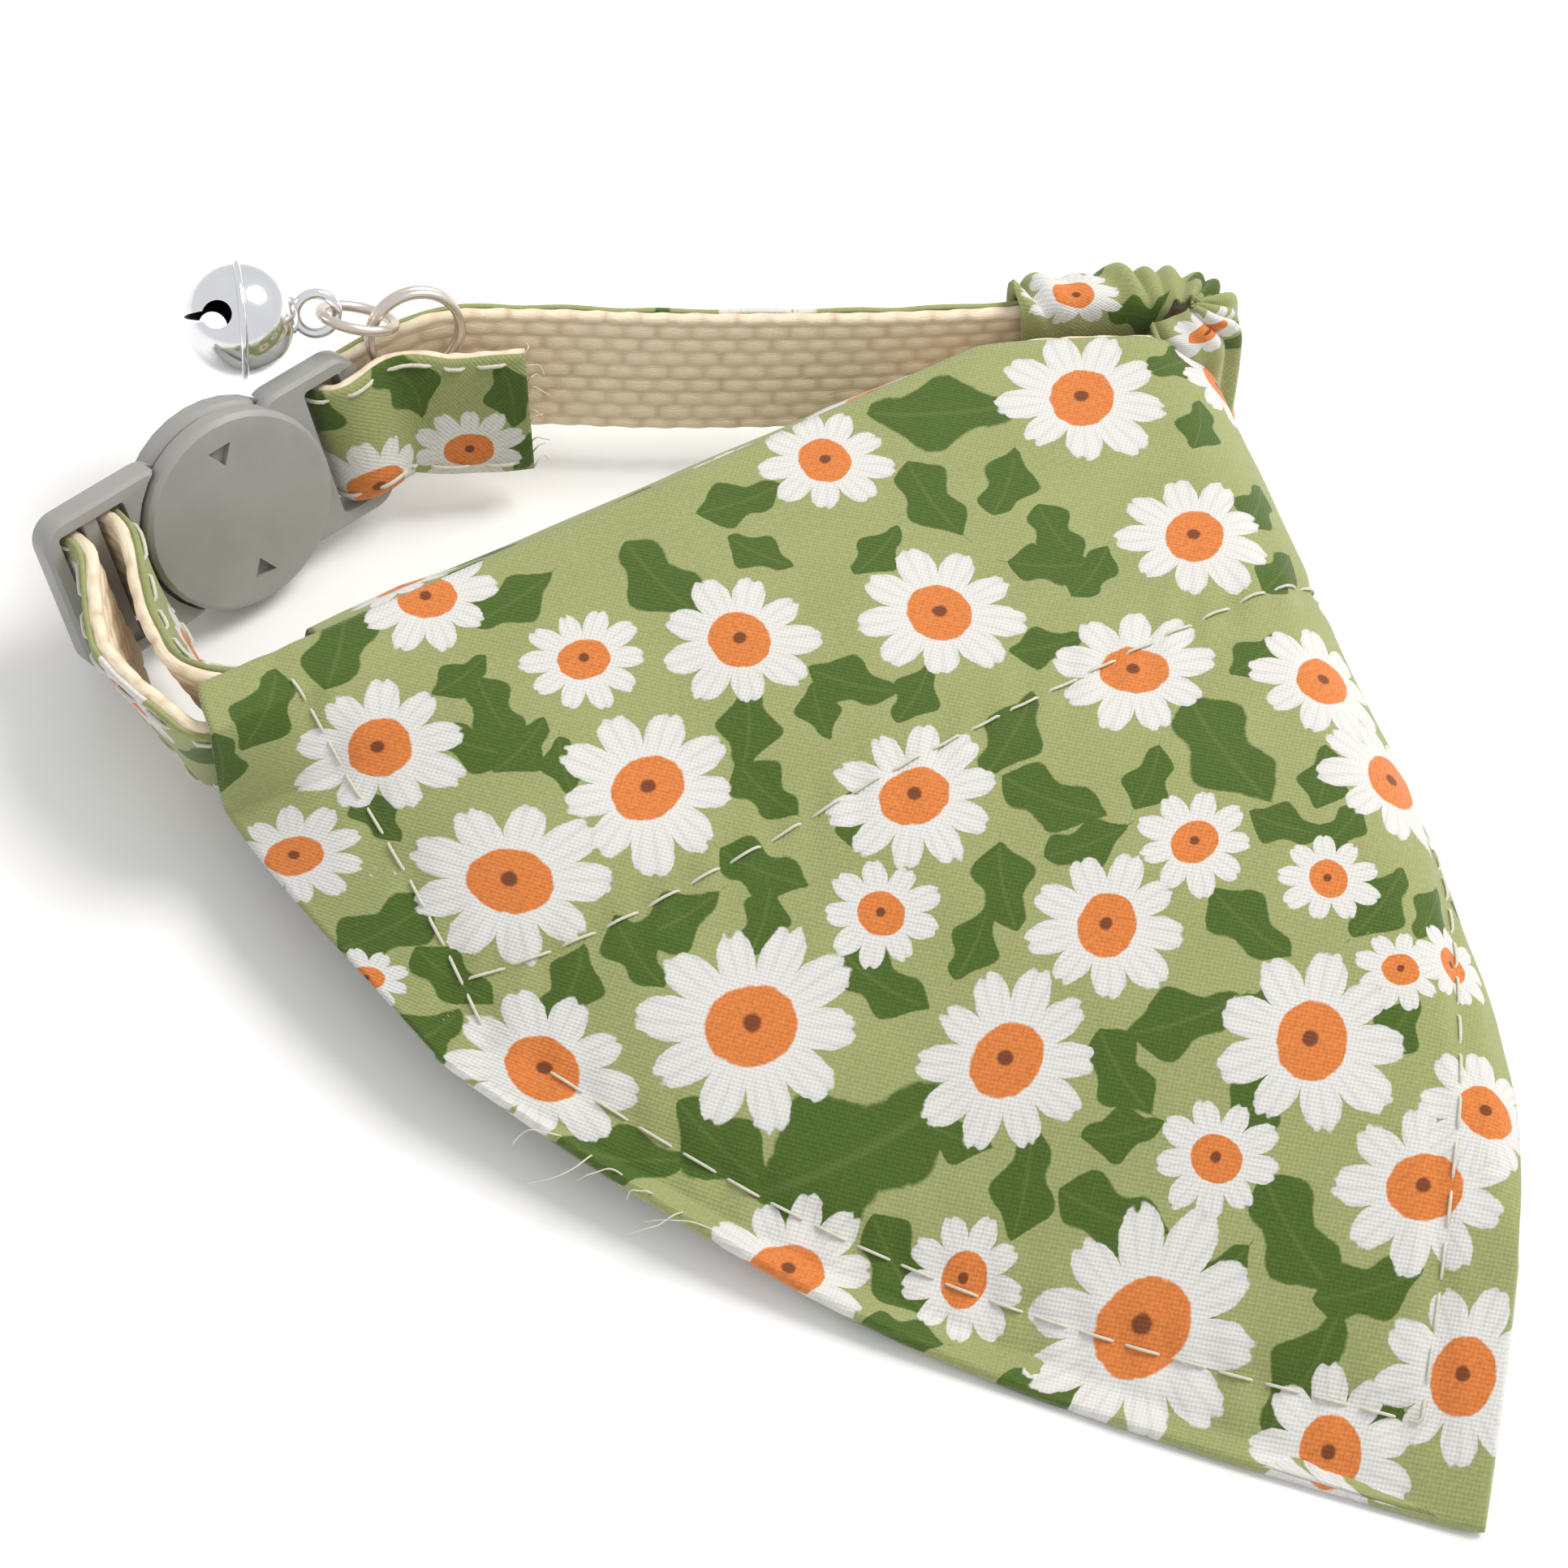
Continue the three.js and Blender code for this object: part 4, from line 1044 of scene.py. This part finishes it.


# bright metal; a hollow, as (middle, radius) in metres, is painted dull and near black inside: painted shade
def brightMetal(name, colour, rough, scratch, hollow=None):
    f = Finish(name)
    smear = f.speckle(metalLook["smear"], 4).between(0.3, 0.8)
    fine = f.speckle(metalLook["scratches"], 2)
    bump = f.node("Bump", {}, {"Strength": scratch, "Distance": metalLook["depth"], "Height": fine})
    tone = f.blend(smear * 0.4, colour, shaded(colour, 0.82))
    roughness = smear * 0.12 + rough
    shine = 1.0
    if hollow:
        middle, radius = hollow
        place = f.node("TexCoord", out="Object")
        away = f.node("VectorMath", {"operation": "DISTANCE"}, {0: place, 1: middle}, "Value")
        # inside the hollow the colour is the painted shade and the metal goes dull
        shine = away.between(radius * 0.985, radius)
        tone = f.blend(shine, bellShape["inside"], tone)
        roughness = roughness + (1 - shine) * 0.5
    return f.surface(Base_Color=tone, Metallic=shine, Roughness=roughness, Normal=bump)


nickelWire = brightMetal("nickelWire", metalLook["nickel"], 0.32, 0.2)
ringMiddle = Vector(ringShape["middle"])
ringAlong = planDirection(ringShape["heading"])
ringFace = raised(ringShape["heading"] - 90, ringShape["lean"])
ringUp = ringFace.cross(ringAlong)


def onRing(degrees, out=0.0):
    a = math.radians(degrees)
    around = ringAlong * math.cos(a) + ringUp * math.sin(a)
    return ringMiddle + around * ringShape["radius"] + ringFace * out


# nearly two turns of wire, side by side, that cross from one side to the other; the ends are thinner
def ringCoil():
    r = ringShape
    coil = []
    for k in range(r["steps"] + 1):
        share = k / r["steps"]
        end = min(1.0, r["endLength"] * share, r["endLength"] * (1 - share))
        out = mixed(-r["apart"], r["apart"], eased(share, *r["cross"]))
        coil.append((onRing(r["from"] + 360 * r["turns"] * share, out), mixed(r["endShare"], 1.0, end)))
    return coil


splitRing = threads("splitRing", [ringCoil()], ringShape["coil"], nickelWire, sides=4)
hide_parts("ring")

# the link hangs from the ring at its hook, and the bell from the link, each clear of the other's wire
hang = raised(hangShape["heading"], -hangShape["drop"])
hook = math.radians(hangShape["hook"])
wireRun = ringAlong * math.sin(hook) - ringUp * math.cos(hook)
linkNormal = (wireRun - hang * wireRun.dot(hang)).normalized()
linkNormal *= -1 if linkNormal.z < 0 else 1
grip = ringShape["wire"] / 2 + hangShape["wire"] / 2 + hangShape["linkGap"]
linkMiddle = onRing(hangShape["hook"]) + hang * (hangShape["link"] - grip)
bellWay = raised(bellShape["heading"], bellShape["rise"])
linkReach = (bellWay - linkNormal * bellWay.dot(linkNormal)).normalized()
eyeReach = hangShape["eye"] - hangShape["wire"] - hangShape["eyeGap"]
eyeMiddle = linkMiddle + linkReach * hangShape["link"] + bellWay * eyeReach
eyeSide = linkReach.cross(linkNormal).cross(bellWay).normalized()
bellMiddle = eyeMiddle + bellWay * (hangShape["eye"] + bellShape["radius"] - hangShape["eyeSunk"])
bellHollow = (inMetres(bellMiddle), (bellShape["radius"] - bellShape["wall"] * 0.5) * mm)
bellPlate = brightMetal("bellPlate", metalLook["plate"], 0.10, 0.08, bellHollow)


# a round ring of wire in the plane of a and b
def wireLoop(name, middle, a, b, radius, wire, material, sides=4):
    turns = [2 * math.pi * k / 64 for k in range(64)]
    run = [(middle + a * radius * math.cos(t) + b * radius * math.sin(t), 1.0) for t in turns]
    return threads(name, [run], wire, material, sides=sides, closed=True)


linkSide = linkNormal.cross(hang)
linkWire = hangShape["wire"] / 2
bellLink = wireLoop("bellLink", linkMiddle, hang, linkSide, hangShape["link"], linkWire, nickelWire)
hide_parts("link")
bellEye = wireLoop("bellEye", eyeMiddle, bellWay, eyeSide, hangShape["eye"], linkWire, bellPlate)


# a thin round shell, with its slit across the end away from the eye and a round hole at each end of it
def makeBell():
    b = bellShape
    slitWay = raised(*b["slit"])
    side = (slitWay - bellWay * slitWay.dot(bellWay)).normalized()
    turn = Matrix((side, (-bellWay).cross(side), -bellWay)).transposed().to_4x4()
    place = Matrix.Translation(inMetres(bellMiddle)) @ turn
    radius = b["radius"] * mm

    def made(name, build):
        bm = bmesh.new()
        build(bm)
        bmesh.ops.transform(bm, matrix=place, verts=bm.verts)
        return linked(name, meshFrom(bm, name))

    def shell(bm):
        along, around = b["cells"]
        bmesh.ops.create_uvsphere(bm, u_segments=along, v_segments=around, radius=radius)
        hollow = (b["radius"] - b["wall"]) * mm
        inner = bmesh.ops.create_uvsphere(bm, u_segments=along, v_segments=around, radius=hollow)
        faces = {f for v in inner["verts"] for f in v.link_faces}
        bmesh.ops.reverse_faces(bm, faces=list(faces))
        for face in bm.faces:
            face.smooth = True

    def slit(bm):
        size = Matrix.Diagonal((2 * b["radius"] * b["slitShare"] * mm, b["slot"] * mm, radius, 1))
        bmesh.ops.create_cube(bm, size=1, matrix=Matrix.Translation((0, 0, -radius)) @ size)

    def hole(way):
        def build(bm):
            at = Matrix.Translation((way * radius, 0, -b["radius"] * b["holeDown"] * mm))
            at @= Matrix.Rotation(math.pi / 2, 4, "Y")
            wide = b["hole"] * mm
            bmesh.ops.create_cone(
                bm, cap_ends=True, segments=36, radius1=wide, radius2=wide, depth=radius, matrix=at
            )
        return build

    holder = made("bellBody", shell)
    cutters = [made(f"cutter{n}", build) for n, build in enumerate((slit, hole(-1), hole(1)))]
    for cutter in cutters:
        cut = holder.modifiers.new("cut", "BOOLEAN")
        cut.operation = "DIFFERENCE"
        cut.solver = "EXACT"
        cut.object = cutter
    mesh = meshOf(holder, cutters)
    mesh.set_sharp_from_angle(angle=math.radians(b["sharp"]))
    return addPiece(mesh, "bellBody", bellPlate, ["bell"])


bellBody = makeBell()
bandSide = bellWay.cross(up).normalized()
bandUp = bandSide.cross(bellWay).normalized()
bellBand = wireLoop(
    "bellBand", bellMiddle, bandSide, bandUp, bellShape["radius"], bellShape["band"], bellPlate,
    sides=3,
)
print("bell made")


# the channel's back layer, in mm; strapOut has places along the neck edge and how far out the strap runs
backShape = {
    "from": 9.0, "to": 57.0, "behind": 1.3, "lean": 1.3, "gap": 0.3, "solidCloth": 1.0,
    "strapOut": [(9, -1.7), (16, -2.0), (20, -1.6), (35, -1.45), (50, -1.45), (58, -1.1)],
    "strapMiddle": 7.9, "footHeight": 3.6, "seamDrop": 0.7, "rumple": 0.25,
    "cut": (48, 56), "cells": (150, 90), "repeat": 12.5,
}


def backPlace(s, t):
    b = backShape
    u = mixed(b["from"], b["to"], s)
    (u0, out0), (u1, out1) = next(pair for pair in zip(b["strapOut"], b["strapOut"][1:]) if u <= pair[1][0])
    back = mixed(out0, out1, (u - u0) / (u1 - u0)) - b["behind"]
    foot = back - b["lean"]
    high = bandanaShape["foldHeight"]
    low = bandanaShape["floorCloth"] + b["solidCloth"] + b["gap"]
    channel = bandanaShape["channelDepth"]
    seam = clothPoint(u, channel).z - b["seamDrop"]
    # the section's corners as (out, height), from the fold down behind the strap and out to the seam
    corners = [
        (foldDepth(u) + 0.9, high - 0.5), (back + 2.6, high - 0.55), (back + b["lean"], high - 2.0),
        (back, b["strapMiddle"]), (foot, b["footHeight"]), (foot + 0.8, low), (back + 5, low + 0.3),
        (channel / 2, (low + seam) / 2 - 0.4), (channel * bandanaShape["settle"], seam),
    ]
    out, height = smoothRun(corners, t)[0]
    out -= b["rumple"] * noise.noise(Vector((u * 0.14, t * 4, 7.0))) * math.sin(math.pi * t)
    return neckStart + neckAlong * u + neckDown * out + up * height


step = backShape["repeat"]
backDaisies = [
    (7 + step * k, -9 + 11 * ((k * 5) % 3) / 3, 4.4 + 0.9 * math.sin(k * 2.7), 37 * k % 70) for k in range(5)
]
backDaisies += [(13 + step * k, -22 + 4 * math.sin(k), 4.8, 23 * k % 70) for k in range(4)]
backLeaves = [(1 + step * k, -15 + 5 * math.sin(k * 1.9), 7.0, 3.0, 50 * k) for k in range(5)]
backLeaves += [(13 + step * k, -5 - 4 * math.sin(k * 2.9), 6.4, 2.8, 30 + 65 * k) for k in range(4)]
backWide, backLong = backShape["cut"]
bandanaBack = clothSheet(
    "bandanaBack", backShape["cells"], backPlace, lambda s, t: (s * backWide, -t * backLong),
    backDaisies, backLeaves, bandanaShape["cloth"],
)
print("bandana back made")

# the gathered sleeve round the strap's right turn: outer wall and roof, pleated across its run
sleeveShape = {
    "rows": (5, 12), "cut": (30, 22), "cells": (260, 84), "gather": 0.34, "pleat": 2.3, "gape": 0.5,
    "shortened": 0.70, "floor": 0.4, "endDrop": 1.1, "sway": 1.3, "wander": 1.1,
    "slow": 1.7, "slowShare": 0.5,
}
sleeveRun = [onLoop(a, b) for a, b, lean in loopRows[slice(*sleeveShape["rows"])]]
sleeveWide, sleeveLong = sleeveShape["cut"]
strapHalf = strapShape["thickness"] / 2
standOff = strapHalf + backShape["gap"] + backShape["solidCloth"] / 2


# the pleats: a main fold, wandering along the run, and a slower one under it
def pleats(run, t):
    pitch = sleeveShape["pleat"]
    bend = run + sleeveShape["sway"] * math.sin(t * 5.0)
    bend += sleeveShape["wander"] * noise.noise(Vector((run * 0.2, t * 3, 3.0)))
    fold = math.sin(bend * 2 * math.pi / pitch) * (0.7 + 0.3 * math.sin(run * 0.9))
    fold += sleeveShape["slowShare"] * math.sin(bend * 2 * math.pi / (pitch * sleeveShape["slow"]) + 2)
    return fold * (0.35 + 0.65 * math.sin(math.pi * clamp(t * 1.05)))


def sleevePlace(s, t):
    b = sleeveShape
    high = bandanaShape["foldHeight"]
    # the section's corners as (out, height), from the outer wall's foot over the roof to the inside
    corners = [
        (standOff + 1.0, 0.5), (standOff + 0.6, 3.5), (standOff + 0.4, high - 4),
        (standOff + 0.1, high - 1.0), (standOff - 0.8, high + 0.15), (-standOff + 0.2, high + 0.1),
        (-standOff - 0.5, high - 1.6), (-standOff - 0.6, high - 5.0),
    ]
    at, way = smoothRun(sleeveRun, s)
    outward = up.cross(way).normalized()
    t *= mixed(1.0, b["shortened"], eased(s, 0.3, 0.45))
    out, height = smoothRun(corners, t)[0]
    depth = b["gather"] * pleats(s * sleeveWide, t)
    gape = (1 - eased(s, 0.0, 0.12)) * b["gape"]
    inside = eased(t, 0.62, 0.8) * (1 - eased(s, 0.28, 0.42))
    out += depth * (1 - inside * 1.2) + gape
    height += depth * 0.9 * eased(t, 0.3, 0.55) - gape * 0.4
    height -= b["endDrop"] * eased(s, 0.8, 1.0) * eased(t, 0.3, 0.5)
    return at + outward * out + up * max(height, b["floor"])


sleeveDaisies = [
    (4, 15, 3.6, 10), (14, 9, 4.0, 40), (25, 17, 4.4, 20), (20, 3, 3.6, 60), (33, 7, 4.2, 15),
    (8, 3, 3.4, 15),
]
sleeveLeaves = [
    (9, 18, 6, 2.8, 20), (16, 18, 6, 2.8, 70), (6, 9, 6, 2.6, 100), (21, 11, 6, 2.8, 30),
    (29, 12, 6, 2.6, 85),
]
bandanaSleeve = clothSheet(
    "bandanaSleeve", sleeveShape["cells"], sleevePlace, lambda s, t: (s * sleeveWide, t * sleeveLong),
    sleeveDaisies, sleeveLeaves, bandanaShape["cloth"],
)
print("bandana sleeve made")

# the cloth turned under on the table at the right, between two edges in shares of the loop
underShape = {
    "inner": [(0.93, 1.05), (0.93, 0.5), (1.04, 0.12), (1.18, -0.24)],
    "outer": [(1.15, 1.06), (1.16, 0.87), (1.2, 0.18), (1.26, -0.24)],
    "height": 0.34, "rumple": 0.1, "cut": (12.2, 49), "cells": (30, 90),
}
underWide, underLong = underShape["cut"]


def onEdge(points, t):
    n = t * (len(points) - 1)
    i = min(int(n), len(points) - 2)
    return [mixed(a, b, n - i) for a, b in zip(points[i], points[i + 1])]


def underPlace(s, t):
    inner, outer = onEdge(underShape["inner"], t), onEdge(underShape["outer"], t)
    place = onLoop(mixed(inner[0], outer[0], s), mixed(inner[1], outer[1], s), underShape["height"])
    apart = place - neckStart
    place.z += underShape["rumple"] * noise.noise(Vector((apart.x * 0.3, apart.y * 0.3, 1.0)))
    return place


bandanaUnder = clothSheet(
    "bandanaUnder", underShape["cells"], underPlace, lambda s, t: (s * underWide, t * underLong),
    [(4, 8, 4, 0), (6, 30, 4.4, 20)], [(5, 18, 7, 3, 70)], bandanaShape["cloth"],
)
print("bandana under made")


# the flat cut of a sheet, in metres, and its area, from its cloth coordinates
def declare(piece):
    chart = [loop.uv.copy() / 10 for loop in piece.data.uv_layers["cloth"].data]
    width, length = [max(c[i] for c in chart) - min(c[i] for c in chart) for i in (0, 1)]
    area = 0.0
    for face in piece.data.polygons:
        corners = [chart[k] for k in face.loop_indices]
        area += abs(sum(a.x * b.y - b.x * a.y for a, b in zip(corners, corners[1:] + corners[:1]))) / 2
    area = min(area, width * length)
    print(piece.name, "cut", round(width, 4), round(length, 4), "area", round(area, 5))


declare(bandanaFront)
declare(bandanaBack)
declare(bandanaSleeve)
declare(bandanaUnder)
declare(strapCover)


# loose ends of thread in mm: hung at the hem's left end, frayed at the strap's folded-back end
looseShape = {
    "radius": 0.07, "points": 22, "lift": 0.5, "waver": 0.25, "thinning": 0.5,
    "hung": 6, "hungFrom": 7.0, "hungStep": 1.1, "hungIn": 0.4,
    "frayed": 9, "frayedHalf": 4.7, "frayedFrom": 0.1, "frayedOut": -0.5,
}


def looseThread(start, way, length, curl, seed):
    across = way.cross(up).normalized()
    run = []
    for k in range(looseShape["points"]):
        t = k / (looseShape["points"] - 1)
        bend = curl * math.sin(t * 3.0 + seed) * t
        lift = looseShape["lift"] * math.sin(math.pi * t)
        lift += looseShape["waver"] * noise.noise(Vector((t * 3, seed, 5.0)))
        run.append((start + way * length * t + across * bend + up * lift, 1.0 - looseShape["thinning"] * t))
    return run


def hungThread(k):
    u = looseShape["hungFrom"] + looseShape["hungStep"] * k
    start = clothSurface(u, hemDepth(u) - looseShape["hungIn"])
    way = planDirection(195 + 27 * math.sin(k * 2.2))
    return looseThread(start, way, 3.2 + 1.6 * math.sin(k * 1.7), 1.1 * math.cos(k * 2.9), k)


def frayedThread(k):
    half = looseShape["frayedHalf"]
    across = mixed(-half, half, k / (looseShape["frayed"] - 1))
    start = onStrap(looseShape["frayedFrom"], across, looseShape["frayedOut"])
    way = planDirection(15 + 50 * math.sin(k * 2.6))
    return looseThread(start, way, 1.3 + 0.7 * math.sin(k * 3.1), 0.8 * math.cos(k * 1.9), k + 9)


looseRuns = [hungThread(k) for k in range(looseShape["hung"])]
looseRuns += [frayedThread(k) for k in range(looseShape["frayed"])]
looseThreads = threads("looseThreads", looseRuns, looseShape["radius"], threadFinish, sides=1)
print("loose threads made")

# floor, light and camera, in metres, watts and degrees
stageShape = {
    "floor": 4.0, "floorDrop": 0.00005, "floorColour": (0.93, 0.93, 0.93), "floorCloud": (0.91, 0.91, 0.91),
    "keyAt": (0.34, 0.20, 0.52), "keySize": 0.34, "keyWatts": 3.1, "keyColour": (1.0, 0.97, 0.93),
    "world": 0.78, "elevation": 54.0, "distance": 0.300, "lens": 97.27, "sensor": 36.0,
}


def paleFloor():
    f = Finish("paleFloor")
    soft = f.speckle(3.0, 1).between(0.3, 0.7)
    colour = f.blend(soft * 0.1, stageShape["floorColour"], stageShape["floorCloud"])
    return f.surface(Base_Color=colour, Roughness=0.85)


bm = bmesh.new()
bmesh.ops.create_grid(bm, x_segments=8, y_segments=8, size=stageShape["floor"] / 2)
floor = linked("floor", meshFrom(bm, "floor"))
floor.data.materials.append(paleFloor())
floor.location.z = -stageShape["floorDrop"]

lamp = bpy.data.lights.new("keyLight", "AREA")
lamp.shape = "DISK"
lamp.size = stageShape["keySize"]
lamp.energy = stageShape["keyWatts"]
lamp.color = stageShape["keyColour"]
keyLight = linked("keyLight", lamp)
keyLight.location = stageShape["keyAt"]
keyLight.rotation_euler = (-keyLight.location).to_track_quat("-Z", "Y").to_euler()

world = bpy.data.worlds.new("studio")
world.use_nodes = True
background = world.node_tree.nodes["Background"]
background.inputs["Color"].default_value = (1.0, 1.0, 1.0, 1)
background.inputs["Strength"].default_value = stageShape["world"]
bpy.context.scene.world = world
bpy.context.scene.view_settings.view_transform = "Standard"

lens = bpy.data.cameras.new("camera")
lens.lens = stageShape["lens"]
lens.sensor_width = stageShape["sensor"]
lens.clip_start = 0.01
camera = linked("camera", lens)
tilt = math.radians(stageShape["elevation"])
aim = collarPlace * mm
camera.location = aim + Vector((0, -math.cos(tilt), math.sin(tilt))) * stageShape["distance"]
camera.rotation_euler = (math.pi / 2 - tilt, 0, 0)
bpy.context.scene.camera = camera
print("stage set")
